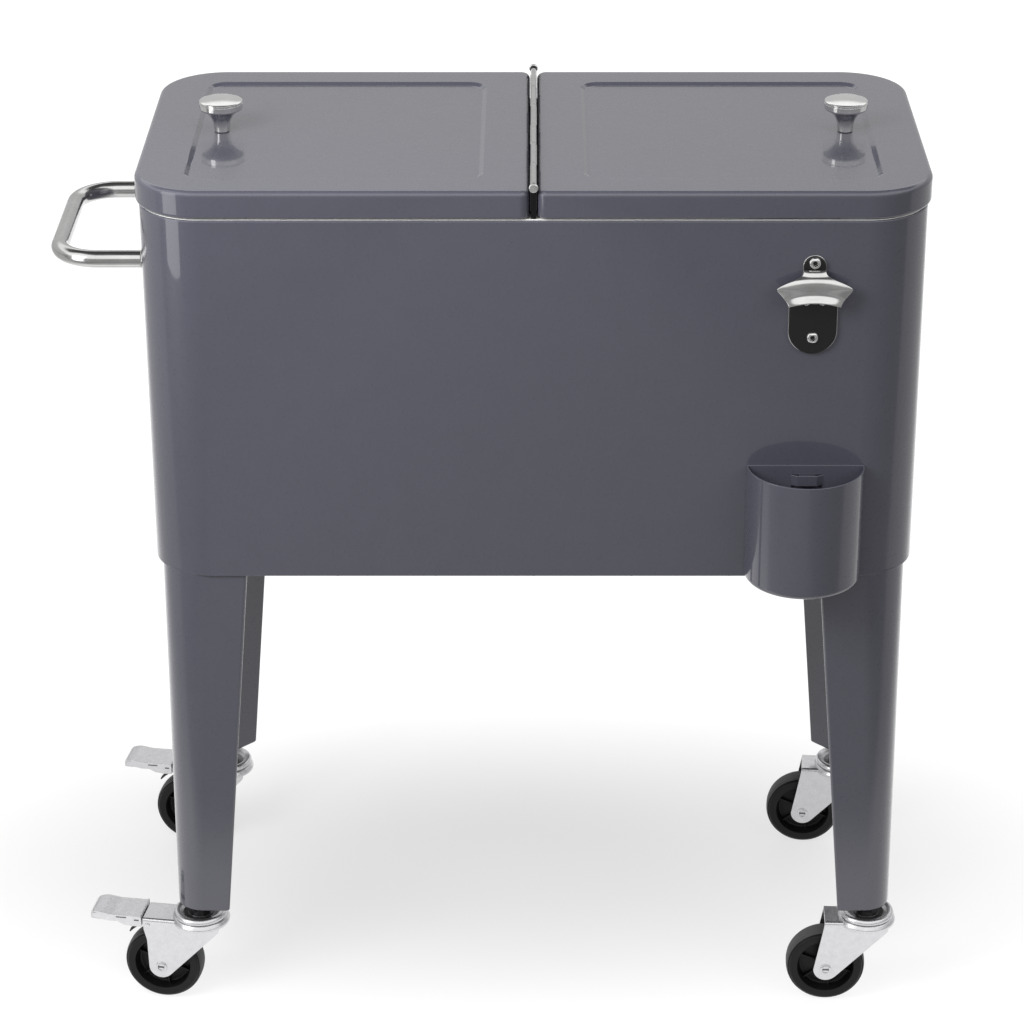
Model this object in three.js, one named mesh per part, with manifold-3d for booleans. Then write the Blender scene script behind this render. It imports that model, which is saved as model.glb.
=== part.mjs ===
// Patio cooler on wheels: an insulated steel box with two lids on a centre hinge, four tapered legs,
// swivel casters (two with a brake pedal), a tube handle, a wall bottle opener and a cap catcher.
// Millimetres, +X to the right of the front, +Y to the rear, +Z up.
import * as THREE from 'three';
import { mergeVertices } from 'three/addons/utils/BufferGeometryUtils.js';
import Module from 'manifold-3d';

const wasm = await Module();
wasm.setup();

// ---------------------------------------------------------------- driving dimensions
const GAP = 0.3; // clearance between pieces that touch
const SHEET = 1.2; // painted steel sheet

const BODY_HALF_LENGTH = 352;
const BODY_HALF_DEPTH = 172.5;
const BODY_CORNER = 58;
const BODY_BOTTOM = 470;
const BODY_TOP = 817.5;
const PANEL_BOTTOM = 472;
const FOAM_WALL = 21.5;
const FOAM_FLOOR = 18.5;
const LINER_WALL = 2.5;
const DRAIN = { x: 200, y: 60, outer: 12, bore: 9, collar: 14, bottom: 440 };

const LID_HALF_LENGTH = 355;
const LID_HALF_DEPTH = 174.5;
const LID_BOTTOM = 818;
const LID_TOP = 844;
const LID_CORNER = 61;
const LID_INNER_X = 3.4; // inner flange of each lid, beside the hinge
const LID_INNER_CORNER = 9;
const LID_EDGE = 5.5; // rounding of the top edge
const RECESS = { inner: 48.5, outer: 306, halfDepth: 135, depth: 2.5, corner: 14, slope: 4 };
const PLUG = { inner: 22, outer: 318, halfDepth: 141, bottom: 806, corner: 26 };

const HINGE_Z = 847;
const KNUCKLE_RADIUS = 2.7;
const PIN_RADIUS = 1.3;
const KNUCKLE_COUNT = 6;
const KNUCKLE_REACH = 166;
const LUG_REACH = 170.3;
const PIN_HEAD = { radius: 4.2, start: 171, thickness: 3 };

const KNOB = { x: 286.5, height: 31, capRadius: 19.75, band: 6.5, baseRadius: 6.5 };

const HANDLE = { z: 751.5, halfSpan: 94, reach: 442, tube: 8.1, wall: 1.5, bend: 33 };
const HANDLE_FLANGE = { radius: 11, thickness: 3 };
const HANDLE_BOLT = { radius: 4, head: 7.5, headLength: 5, into: 16 };

const OPENER = { x: 248, top: 784.5, bottom: 692.3, halfWidth: 21.3, lobe: 10, thickness: 3 };
const HOOD = { halfWidth: 33, tipZ: 758.5, lipZ: 741.5, lipHalf: 22.5, neckZ: 772, reach: 19, wall: 2.2 };
const SCREW = { radius: 2, head: 5.1, headLength: 2.6, length: 16 };

const CATCHER = { x: 246.5, radius: 53.5, bottom: 470.6, top: 582.5, wall: 1.4 };
const WINDOW = { x: 248, halfWidth: 14, bottom: 555, top: 573.5 };
const BRIDGE = { bottom: 563, top: 573, halfFlat: 9, raise: 3 };

const LEG = { x: 345, y: 170, top: 471.7, bottom: 107, wideTop: 86, wideBottom: 54, corner: 33, wall: 1.5 };
const LEG_FLOOR = 3;

const STEM = { x: 324, y: 150, radius: 5.5, top: 140 };
const WHEEL = { radius: 38, halfWidth: 12, hubHalf: 13, bore: 3.3 };
const AXLE = { radius: 3, head: 6, headLength: 2.6 };
const TRAIL = 38; // horizontal distance from swivel axis to wheel axle
const FORK = { half: 16.5, sheet: 2.5, top: 91.5, raceTop: 93.5, raceRadius: 27.5, tip: 11 };
const CUP = { bottom: 93.8, top: 99, radius: 26.5, dish: 17 };
const PEDAL_PIVOT = { x: -50, z: 84.5 };
const CASTERS = [
  { name: 'front_left', side: -1, depth: -1, yaw: 9, brake: true },
  { name: 'rear_left', side: -1, depth: 1, yaw: 9, brake: true },
  { name: 'front_right', side: 1, depth: -1, yaw: 2, brake: false },
  { name: 'rear_right', side: 1, depth: 1, yaw: 5, brake: false },
];

// ---------------------------------------------------------------- materials
const finish = (color, roughness, metalness) =>
  new THREE.MeshStandardMaterial({ color, roughness, metalness });
const PAINT = finish(0x62636a, 0.35, 0.1);
const CHROME = finish(0xc8c8ca, 0.12, 1);
const STEEL = finish(0xb9b8b6, 0.3, 1);
const ZINC = finish(0xbcbcbe, 0.4, 1);
const WHITE_PLASTIC = finish(0xe9e9e6, 0.5, 0);
const FOAM = finish(0xe6d9ae, 0.9, 0);
const BLACK_PLASTIC = finish(0x1f1f20, 0.5, 0);
const RUBBER = finish(0x2a2a2a, 0.8, 0);

// ---------------------------------------------------------------- solids
function solidOf(geometry) {
  const bare = geometry.clone();
  bare.deleteAttribute('normal');
  bare.deleteAttribute('uv');
  const merged = mergeVertices(bare, 1e-3);
  return new wasm.Manifold(new wasm.Mesh({
    numProp: 3,
    vertProperties: Float32Array.from(merged.attributes.position.array),
    triVerts: Uint32Array.from(merged.index.array),
  }));
}

function geometryOf(solid) {
  const mesh = solid.getMesh();
  const geometry = new THREE.BufferGeometry();
  geometry.setAttribute('position', new THREE.BufferAttribute(mesh.vertProperties, 3));
  geometry.setIndex(new THREE.BufferAttribute(mesh.triVerts, 1));
  return geometry;
}

function join(...geometries) {
  return geometryOf(geometries.map(solidOf).reduce((all, next) => all.add(next)));
}

function cut(base, ...tools) {
  return geometryOf(tools.map(solidOf).reduce((left, tool) => left.subtract(tool), solidOf(base)));
}

function overlapOf(first, second) {
  return geometryOf(solidOf(first).intersect(solidOf(second)));
}

/** Box between two opposite corners. */
function block(x0, y0, z0, x1, y1, z1) {
  const geometry = new THREE.BoxGeometry(x1 - x0, y1 - y0, z1 - z0);
  return geometry.translate((x0 + x1) / 2, (y0 + y1) / 2, (z0 + z1) / 2);
}

/** Cylinder along an axis, from one end to the other, at the two other coordinates in X, Y, Z order. */
function rod(axis, radius, from, to, first, second, segments = 20) {
  const geometry = new THREE.CylinderGeometry(radius, radius, to - from, segments);
  const middle = (from + to) / 2;
  if (axis === 'x') {
    return geometry.rotateZ(-Math.PI / 2).translate(middle, first, second);
  }
  if (axis === 'y') {
    return geometry.translate(first, middle, second);
  }
  return geometry.rotateX(Math.PI / 2).translate(first, second, middle);
}

/** Rectangle from (x0, y0) to (x1, y1); left and right corners have their own radii. */
function roundedRect(x0, y0, x1, y1, leftRadius, rightRadius = leftRadius) {
  const shape = new THREE.Shape();
  shape.moveTo(x0 + leftRadius, y0);
  shape.lineTo(x1 - rightRadius, y0);
  shape.absarc(x1 - rightRadius, y0 + rightRadius, rightRadius, -Math.PI / 2, 0, false);
  shape.lineTo(x1, y1 - rightRadius);
  shape.absarc(x1 - rightRadius, y1 - rightRadius, rightRadius, 0, Math.PI / 2, false);
  shape.lineTo(x0 + leftRadius, y1);
  shape.absarc(x0 + leftRadius, y1 - leftRadius, leftRadius, Math.PI / 2, Math.PI, false);
  shape.lineTo(x0, y0 + leftRadius);
  shape.absarc(x0 + leftRadius, y0 + leftRadius, leftRadius, Math.PI, Math.PI * 1.5, false);
  return shape;
}

/** Straight prism of a shape drawn in XY, standing between two heights. */
function prism(shape, bottom, top, curveSegments = 3) {
  const settings = { depth: top - bottom, bevelEnabled: false, curveSegments };
  return new THREE.ExtrudeGeometry(shape, settings).translate(0, 0, bottom);
}

/** Outline of the body, moved inwards by a distance. */
function bodyOutline(inset) {
  const x = BODY_HALF_LENGTH - inset;
  const y = BODY_HALF_DEPTH - inset;
  return roundedRect(-x, -y, x, y, BODY_CORNER - inset);
}

/** Prism of a polygon drawn in (x, z), from one y to another. */
function sidePrism(points, fromY, toY, curveSegments = 4) {
  const shape = points instanceof THREE.Shape ? points : new THREE.Shape(points);
  const settings = { depth: toY - fromY, bevelEnabled: false, curveSegments };
  return new THREE.ExtrudeGeometry(shape, settings).rotateX(Math.PI / 2).translate(0, toY, 0);
}

const point = (x, y) => new THREE.Vector2(x, y);

function lathe(points, segments = 24) {
  return new THREE.LatheGeometry(points.map(([r, h]) => point(r, h)), segments);
}

// ---------------------------------------------------------------- the tree
const cooler = new THREE.Group();

function add(name, geometry, material, parent = cooler) {
  const mesh = new THREE.Mesh(geometry, material);
  mesh.name = name;
  parent.add(mesh);
  return mesh;
}

// ---------------------------------------------------------------- shell, foam and tub
const FRONT = -BODY_HALF_DEPTH; // front face of the shell
const SCREW_HEIGHTS = { opener_screw_top: 778.5, opener_screw_bottom: 708 };
const LINER_INSET = SHEET + GAP + FOAM_WALL + GAP;
const LINER_BOTTOM = PANEL_BOTTOM + SHEET + GAP + FOAM_FLOOR + GAP;
const TUB_FLOOR = LINER_BOTTOM + LINER_WALL;
const FLANGE_BOTTOM = BODY_TOP - LINER_WALL;

function handleHoles(radius, from, to) {
  return [-1, 1].map((side) => rod('x', radius, from, to, side * HANDLE.halfSpan, HANDLE.z));
}

function openerHoles(radius, from, to) {
  return Object.values(SCREW_HEIGHTS).map((z) => rod('y', radius, from, to, OPENER.x, z, 12));
}

function buildShell() {
  const outline = bodyOutline(0);
  outline.holes.push(bodyOutline(SHEET));
  const wall = prism(outline, BODY_BOTTOM, BODY_TOP);
  const boltHoles = handleHoles(HANDLE_BOLT.radius + GAP, -BODY_HALF_LENGTH - 5, -BODY_HALF_LENGTH + 5);
  const screwHoles = openerHoles(SCREW.radius + GAP, FRONT - 5, FRONT + 5);
  add('outer_shell', cut(wall, ...boltHoles, ...screwHoles), PAINT);

  const panel = prism(bodyOutline(SHEET + GAP), PANEL_BOTTOM, PANEL_BOTTOM + SHEET);
  const drainHole = rod('z', DRAIN.outer + GAP, PANEL_BOTTOM - 1, PANEL_BOTTOM + 3, DRAIN.x, DRAIN.y);
  add('bottom_panel', cut(panel, drainHole), PAINT);
}

function buildTub() {
  const flange = prism(bodyOutline(SHEET + GAP), FLANGE_BOTTOM, BODY_TOP);
  const pot = prism(bodyOutline(LINER_INSET), LINER_BOTTOM, BODY_TOP);
  const hollow = prism(bodyOutline(LINER_INSET + LINER_WALL), TUB_FLOOR, BODY_TOP + 1);
  const drainHole = rod('z', DRAIN.outer + GAP, LINER_BOTTOM - 1, TUB_FLOOR + 1, DRAIN.x, DRAIN.y);
  add('inner_liner', cut(join(flange, pot), hollow, drainHole), WHITE_PLASTIC);

  const filling = prism(bodyOutline(SHEET + GAP), PANEL_BOTTOM + SHEET + GAP, FLANGE_BOTTOM - GAP);
  const room = prism(bodyOutline(LINER_INSET - GAP), LINER_BOTTOM - GAP, BODY_TOP);
  const drainRoom = rod('z', DRAIN.outer + 2, PANEL_BOTTOM, TUB_FLOOR, DRAIN.x, DRAIN.y);
  const wallX = -BODY_HALF_LENGTH + SHEET;
  const boltRoom = handleHoles(HANDLE_BOLT.head + 1, wallX - 1, wallX + HANDLE_BOLT.headLength + 4);
  const screwRoom = openerHoles(SCREW.radius + 1, FRONT, FRONT + SCREW.length);
  add('insulation_foam', cut(filling, room, drainRoom, ...boltRoom, ...screwRoom), FOAM);
}

function buildDrain() {
  const collarBottom = TUB_FLOOR + GAP;
  const spout = lathe([
    [DRAIN.bore, DRAIN.bottom],
    [DRAIN.outer, DRAIN.bottom],
    [DRAIN.outer, collarBottom],
    [DRAIN.collar, collarBottom],
    [DRAIN.collar, collarBottom + 2],
    [DRAIN.bore, collarBottom + 2],
    [DRAIN.bore, DRAIN.bottom],
  ]).rotateX(Math.PI / 2).translate(DRAIN.x, DRAIN.y, 0);
  add('drain_spout', spout, WHITE_PLASTIC);

  const capBottom = DRAIN.bottom - GAP - 3;
  const skirtTop = DRAIN.bottom + 14;
  const cup = lathe([
    [0, capBottom],
    [17, capBottom],
    [17, skirtTop],
    [DRAIN.outer + GAP, skirtTop],
    [DRAIN.outer + GAP, DRAIN.bottom - GAP],
    [0, DRAIN.bottom - GAP],
  ]).rotateX(Math.PI / 2);
  const wing = block(-13, -2.5, capBottom - 7, 13, 2.5, capBottom + 1);
  add('drain_cap', join(cup, wing), WHITE_PLASTIC).position.set(DRAIN.x, DRAIN.y, 0);
}

// ---------------------------------------------------------------- centre bar and hinge
function buildSupportBar() {
  const tubHalfDepth = BODY_HALF_DEPTH - LINER_INSET - LINER_WALL;
  const stripReach = tubHalfDepth - 0.5;
  const stripTop = BODY_TOP - 0.1;
  const webHalf = SHEET;
  const webBottom = BODY_TOP + 0.5;
  const webTop = HINGE_Z - KNUCKLE_RADIUS - 0.8;
  const pieces = [
    block(-14, -stripReach, stripTop - 5.5, 14, stripReach, stripTop),
    block(-webHalf, -stripReach, stripTop - 1, webHalf, stripReach, webTop),
    block(-webHalf, -LUG_REACH, webBottom, webHalf, LUG_REACH, webTop),
  ];
  for (const side of [-1, 1]) {
    const ends = [side * (KNUCKLE_REACH + 0.6), side * LUG_REACH].sort((a, b) => a - b);
    pieces.push(block(-2.4, ends[0], webBottom, 2.4, ends[1], HINGE_Z));
    pieces.push(rod('y', KNUCKLE_RADIUS + 0.2, ends[0], ends[1], 0, HINGE_Z, 16));
  }
  const pinHole = rod('y', PIN_RADIUS + GAP, -LUG_REACH - 1, LUG_REACH + 1, 0, HINGE_Z, 12);
  add('lid_support_bar', cut(join(...pieces), pinHole), BLACK_PLASTIC);

  const headEnd = PIN_HEAD.start + PIN_HEAD.thickness;
  const pin = join(
    rod('y', PIN_RADIUS, -PIN_HEAD.start - 1, PIN_HEAD.start + 1, 0, HINGE_Z, 12),
    rod('y', PIN_HEAD.radius, -headEnd, -PIN_HEAD.start, 0, HINGE_Z),
    rod('y', PIN_HEAD.radius, PIN_HEAD.start, headEnd, 0, HINGE_Z),
  );
  add('hinge_pin', pin, STEEL);
}

/** Leaf of the piano hinge on the lid at one side (-1 left, +1 right), with every other knuckle. */
function hingeLeaf(side) {
  const outer = side * 3;
  const inner = side * 2;
  const low = Math.min(outer, inner);
  const high = Math.max(outer, inner);
  const pieces = [block(low, -KNUCKLE_REACH, LID_BOTTOM + 4, high, KNUCKLE_REACH, HINGE_Z - 3)];
  const pitch = (2 * KNUCKLE_REACH) / KNUCKLE_COUNT;
  const bores = [];
  for (let index = 0; index < KNUCKLE_COUNT; index += 1) {
    const mine = (index % 2 === 0) === (side < 0);
    if (mine) {
      const start = -KNUCKLE_REACH + index * pitch + 0.4;
      const end = start + pitch - 0.8;
      pieces.push(rod('y', KNUCKLE_RADIUS, start, end, 0, HINGE_Z, 16));
      pieces.push(block(low, start, HINGE_Z - 4, high, end, HINGE_Z));
      bores.push(rod('y', PIN_RADIUS + GAP, start - 1, end + 1, 0, HINGE_Z, 12));
    }
  }
  return cut(join(...pieces), ...bores);
}

// ---------------------------------------------------------------- lids
/** Plan of the right lid, moved inwards by a distance; the left lid is its mirror image. */
function lidOutline(inset) {
  const radius = LID_INNER_CORNER - Math.min(inset, LID_INNER_CORNER - 2);
  const half = LID_HALF_DEPTH - inset;
  return roundedRect(LID_INNER_X + inset, -half, LID_HALF_LENGTH - inset, half, radius, LID_CORNER - inset);
}

function lidSkin() {
  const rounded = new THREE.ExtrudeGeometry(lidOutline(0), {
    depth: 40,
    bevelEnabled: true,
    bevelThickness: LID_EDGE,
    bevelSize: LID_EDGE,
    bevelOffset: -LID_EDGE,
    bevelSegments: 3,
    curveSegments: 3,
  }).translate(0, 0, LID_TOP - LID_EDGE - 40);
  const slab = block(0, -LID_HALF_DEPTH - 1, LID_BOTTOM, LID_HALF_LENGTH + 1, LID_HALF_DEPTH + 1, LID_TOP + 1);
  const { inner, outer, halfDepth, depth, corner, slope } = RECESS;
  const dip = new THREE.ExtrudeGeometry(roundedRect(inner, -halfDepth, outer, halfDepth, corner), {
    depth: 4,
    bevelEnabled: true,
    bevelThickness: depth,
    bevelSize: slope,
    bevelOffset: -slope,
    bevelSegments: 1,
    curveSegments: 2,
  }).translate(0, 0, LID_TOP);
  const hollow = prism(lidOutline(SHEET), LID_BOTTOM - 1, LID_TOP - RECESS.depth - SHEET);
  const screwHole = rod('z', 2.5, LID_TOP - 10, LID_TOP + 1, KNOB.x, 0, 12);
  return cut(overlapOf(rounded, slab), dip, hollow, screwHole);
}

const LINER_RIM = BODY_TOP + GAP + 3.3; // underside of the lid liner's rim, above the gasket
const LID_SKIN_UNDERSIDE = LID_TOP - RECESS.depth - SHEET;

function lidLiner() {
  const plan = roundedRect(PLUG.inner, -PLUG.halfDepth, PLUG.outer, PLUG.halfDepth, PLUG.corner / 2, PLUG.corner);
  const rim = prism(lidOutline(SHEET + GAP), LINER_RIM, LINER_RIM + 2);
  const plug = prism(plan, PLUG.bottom, LINER_RIM + 1);
  const inside = PLUG.corner / 2 - 2;
  const low = PLUG.inner + 2;
  const half = PLUG.halfDepth - 2;
  const hollow = prism(
    roundedRect(low, -half, PLUG.outer - 2, half, inside, PLUG.corner - 2),
    PLUG.bottom + 2,
    LINER_RIM + 3,
  );
  return cut(join(rim, plug), hollow);
}

function lidFoam() {
  const inset = SHEET + GAP;
  const slab = prism(lidOutline(inset), LINER_RIM + 2 + GAP, LID_SKIN_UNDERSIDE - GAP, 3);
  const edge = 2 + GAP;
  const half = PLUG.halfDepth - edge;
  const plan = roundedRect(PLUG.inner + edge, -half, PLUG.outer - edge, half, 10, PLUG.corner - edge);
  const fill = prism(plan, PLUG.bottom + edge, LINER_RIM + 4, 3);
  const screwRoom = rod('z', 6, LID_SKIN_UNDERSIDE - 12, LID_TOP, KNOB.x, 0, 12);
  return cut(join(slab, fill), screwRoom);
}

function lidGasket() {
  const outline = lidOutline(SHEET + GAP + 1);
  outline.holes.push(lidOutline(SHEET + GAP + 7));
  return prism(outline, BODY_TOP + GAP, LINER_RIM - GAP);
}

/** Mushroom knob: a trumpet neck under a flat cap with a domed top. */
function knobBody() {
  const bandBottom = KNOB.height - KNOB.band - 1.5;
  const profile = [[0, 0]];
  const steps = 5;
  for (let index = 0; index <= steps; index += 1) {
    const t = index / steps;
    const radius = KNOB.baseRadius + (KNOB.capRadius - 4 - KNOB.baseRadius) * t ** 3;
    profile.push([radius, bandBottom * t]);
  }
  profile.push([KNOB.capRadius - 1, bandBottom + 0.5]);
  profile.push([KNOB.capRadius, bandBottom + 1.5]);
  profile.push([KNOB.capRadius, bandBottom + KNOB.band - 0.5]);
  profile.push([KNOB.capRadius - 1.5, bandBottom + KNOB.band]);
  profile.push([KNOB.capRadius / 2, KNOB.height - 0.4]);
  profile.push([0, KNOB.height]);
  const body = lathe(profile, 20).rotateX(Math.PI / 2);
  return cut(body, rod('z', 2.3, -1, 14, 0, 0, 12));
}

function knobScrew() {
  const bottom = LID_SKIN_UNDERSIDE - GAP;
  return join(
    rod('z', 2, bottom - 1, LID_TOP - RECESS.depth + 13, 0, 0, 12),
    rod('z', 5, bottom - 3, bottom, 0, 0, 12),
  );
}

function buildLid(side, name) {
  const lid = new THREE.Group();
  lid.scale.x = side;
  cooler.add(lid);
  add(`${name}_shell`, lidSkin(), PAINT, lid);
  add(`${name}_liner`, lidLiner(), WHITE_PLASTIC, lid);
  add(`${name}_foam`, lidFoam(), FOAM, lid);
  add(`${name}_gasket`, lidGasket(), RUBBER, lid);
  add(`${name}_knob`, knobBody(), CHROME, lid).position.set(KNOB.x, 0, LID_TOP - RECESS.depth + GAP);
  add(`${name}_knob_screw`, knobScrew(), ZINC, lid).position.set(KNOB.x, 0, 0);
  add(`${name}_hinge_leaf`, hingeLeaf(side), STEEL);
}

// ---------------------------------------------------------------- handle
function handlePath() {
  const start = -BODY_HALF_LENGTH - 2 * GAP - HANDLE_FLANGE.thickness;
  const far = -HANDLE.reach + HANDLE.tube;
  const { halfSpan, bend, z } = HANDLE;
  const pull = bend * 0.4477; // distance of a quarter-circle Bezier's control point from the corner
  const at = (x, y) => new THREE.Vector3(x, y, z);
  const path = new THREE.CurvePath();
  path.add(new THREE.LineCurve3(at(start, -halfSpan), at(far + bend, -halfSpan)));
  path.add(new THREE.CubicBezierCurve3(
    at(far + bend, -halfSpan), at(far + pull, -halfSpan), at(far, -halfSpan + pull), at(far, -halfSpan + bend),
  ));
  path.add(new THREE.LineCurve3(at(far, -halfSpan + bend), at(far, halfSpan - bend)));
  path.add(new THREE.CubicBezierCurve3(
    at(far, halfSpan - bend), at(far, halfSpan - pull), at(far + pull, halfSpan), at(far + bend, halfSpan),
  ));
  path.add(new THREE.LineCurve3(at(far + bend, halfSpan), at(start, halfSpan)));
  return path;
}

function buildHandle() {
  const ring = new THREE.Shape();
  ring.absarc(0, 0, HANDLE.tube, 0, Math.PI * 2, false);
  const bore = new THREE.Path();
  bore.absarc(0, 0, HANDLE.tube - HANDLE.wall, 0, Math.PI * 2, true);
  ring.holes.push(bore);
  const settings = { steps: 32, extrudePath: handlePath(), curveSegments: 5, bevelEnabled: false };
  add('handle_tube', new THREE.ExtrudeGeometry(ring, settings), STEEL);

  const wall = -BODY_HALF_LENGTH;
  const flangeEnd = wall - GAP - HANDLE_FLANGE.thickness;
  for (const [name, side] of [['front', -1], ['rear', 1]]) {
    const y = side * HANDLE.halfSpan;
    const disc = rod('x', HANDLE_FLANGE.radius, flangeEnd, wall - GAP, y, HANDLE.z);
    const hole = rod('x', HANDLE_BOLT.radius + GAP, flangeEnd - 1, wall, y, HANDLE.z);
    add(`handle_flange_${name}`, cut(disc, hole), STEEL);
    const headStart = wall + SHEET + GAP;
    const shank = rod('x', HANDLE_BOLT.radius, flangeEnd - HANDLE_BOLT.into, headStart + 1, y, HANDLE.z, 12);
    const head = rod('x', HANDLE_BOLT.head, headStart, headStart + HANDLE_BOLT.headLength, y, HANDLE.z, 6);
    add(`handle_bolt_${name}`, join(shank, head), ZINC);
  }
}

// ---------------------------------------------------------------- bottle opener
/** Outline of the opener's plate in (x from its centre, z): a round top lobe over a U-shaped apron. */
function openerPlateOutline() {
  const { top, bottom, halfWidth, lobe } = OPENER;
  const shoulder = 762;
  const outline = new THREE.Shape();
  outline.absarc(0, top - lobe, lobe, 0, Math.PI, false);
  outline.lineTo(-lobe, shoulder);
  outline.lineTo(-halfWidth, shoulder - 12);
  outline.lineTo(-halfWidth, bottom + halfWidth);
  outline.absarc(0, bottom + halfWidth, halfWidth, Math.PI, Math.PI * 2, false);
  outline.lineTo(halfWidth, shoulder - 12);
  outline.lineTo(lobe, shoulder);
  return outline;
}

function buildOpener() {
  const plateBack = FRONT - GAP;
  const plateFront = plateBack - OPENER.thickness;
  const plate = sidePrism(openerPlateOutline(), plateFront, plateBack, 6).translate(OPENER.x, 0, 0);
  add('opener_plate', cut(plate, ...openerHoles(SCREW.radius + GAP, plateFront - 1, plateBack + 1)), BLACK_PLASTIC);

  // The hood is a bent steel strip, trimmed to its front outline.
  const back = plateFront - GAP;
  const { halfWidth, tipZ, lipZ, lipHalf, neckZ, reach, wall } = HOOD;
  const profile = new THREE.Shape([
    point(back, neckZ), point(back - 3, neckZ - 1), point(back - 9, neckZ - 7), point(back - 15, neckZ - 16),
    point(back - 18, lipZ + 7), point(back - reach, lipZ + 3), point(back - reach, lipZ),
    point(back - reach + wall + 0.6, lipZ), point(back - reach + wall + 1, lipZ + 5),
    point(back - 13, neckZ - 18), point(back - 7.5, neckZ - 10), point(back - 3, neckZ - 5), point(back, neckZ - 5),
  ]);
  // the profile is drawn in (y, z) and runs along X
  const strip = new THREE.ExtrudeGeometry(profile, { depth: 2 * halfWidth, bevelEnabled: false })
    .rotateX(Math.PI / 2).rotateZ(Math.PI / 2).translate(-halfWidth, 0, 0);
  const front = [
    point(-9, neckZ + 1), point(-14, neckZ - 5), point(-halfWidth, tipZ), point(-lipHalf, lipZ - 1),
    point(lipHalf, lipZ - 1), point(halfWidth, tipZ), point(14, neckZ - 5), point(9, neckZ + 1),
  ];
  const trim = sidePrism(front, back - 30, back + 1);
  add('opener_hood', overlapOf(strip, trim).translate(OPENER.x, 0, 0), STEEL);

  for (const [name, z] of Object.entries(SCREW_HEIGHTS)) {
    const headBack = plateFront - GAP;
    const screw = join(
      rod('y', SCREW.head, headBack - SCREW.headLength, headBack, OPENER.x, z, 16),
      rod('y', SCREW.radius, headBack - 1, headBack + SCREW.length, OPENER.x, z, 12),
    );
    add(name, screw, CHROME);
  }
}

// ---------------------------------------------------------------- cap catcher
function halfRound(radius) {
  const outline = new THREE.Shape();
  outline.absarc(0, 0, radius, Math.PI, Math.PI * 2, false);
  return outline;
}

function buildCatcher() {
  const back = FRONT - GAP;
  const { radius, bottom, top, wall } = CATCHER;
  const bucket = prism(halfRound(radius), bottom, top, 9).translate(CATCHER.x, back, 0);
  const inner = radius - wall;
  const hollow = overlapOf(
    prism(halfRound(inner), bottom + wall, top + 1, 9),
    block(-inner - 1, -inner - 1, bottom, inner + 1, -wall, top + 2),
  ).translate(CATCHER.x, back, 0);
  const { halfWidth } = WINDOW;
  const window = block(-halfWidth, back - wall - 1, WINDOW.bottom, halfWidth, back + 1, WINDOW.top);
  const bridgePlan = new THREE.Shape([
    point(-halfWidth - 1, back), point(-halfWidth, back), point(-BRIDGE.halfFlat, back - BRIDGE.raise),
    point(BRIDGE.halfFlat, back - BRIDGE.raise), point(halfWidth, back), point(halfWidth + 1, back),
    point(halfWidth + 1, back - wall), point(halfWidth, back - wall),
    point(BRIDGE.halfFlat + 1, back - BRIDGE.raise - wall), point(-BRIDGE.halfFlat - 1, back - BRIDGE.raise - wall),
    point(-halfWidth, back - wall), point(-halfWidth - 1, back - wall),
  ]);
  const bridge = prism(bridgePlan, BRIDGE.bottom, BRIDGE.top);
  const opened = cut(bucket, hollow, window.translate(WINDOW.x, 0, 0));
  add('cap_catcher', join(opened, bridge.translate(WINDOW.x, 0, 0)), PAINT);

  const tab = block(-7.5, back - 1.5, BRIDGE.bottom + 3, 7.5, back, WINDOW.top - GAP);
  add('catcher_hook', tab.translate(WINDOW.x, 0, 0), PAINT);
}

// ---------------------------------------------------------------- legs
/** Section of a leg with its outer corner at the origin: two flat outer sides and a diagonal inner one. */
function legSection(width, corner, inset) {
  const near = inset;
  const far = width - inset * 2.4;
  const nose = 5;
  const outline = new THREE.Shape();
  outline.moveTo(far - nose, near);
  outline.quadraticCurveTo(far, near, far - nose * 0.7, near + nose * 0.7);
  outline.lineTo(near + nose * 0.7, far - nose * 0.7);
  outline.quadraticCurveTo(near, far, near, far - nose);
  outline.lineTo(near, near + corner);
  outline.absarc(near + corner, near + corner, corner, Math.PI, Math.PI * 1.5, false);
  return outline;
}

/** Leg whose sides narrow towards the bottom; the inset is the wall thickness of the inner surface. */
function taperedLeg(inset, bottom, top) {
  const geometry = prism(legSection(LEG.wideBottom, LEG.corner - inset, inset), bottom, top, 3);
  const position = geometry.attributes.position;
  const lost = 3.4 * inset;
  const growth = ((LEG.wideTop - lost) / (LEG.wideBottom - lost) - 1) / (LEG.top - LEG.bottom);
  for (let index = 0; index < position.count; index += 1) {
    const factor = 1 + growth * (position.getZ(index) - LEG.bottom);
    position.setX(index, inset + (position.getX(index) - inset) * factor);
    position.setY(index, inset + (position.getY(index) - inset) * factor);
  }
  return geometry;
}

function buildLeg(name, side, depth) {
  const outer = taperedLeg(0, LEG.bottom, LEG.top);
  const inner = taperedLeg(LEG.wall, LEG.bottom + LEG_FLOOR, LEG.top + 1);
  const stemHole = rod('z', STEM.radius + GAP, LEG.bottom - 1, LEG.bottom + LEG_FLOOR + 1,
    LEG.x - STEM.x, LEG.y - STEM.y, 16);
  const leg = add(`leg_${name}`, cut(outer, inner, stemHole), PAINT);
  leg.position.set(side * LEG.x, depth * LEG.y, 0);
  leg.scale.set(-side, -depth, 1);
}

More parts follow.
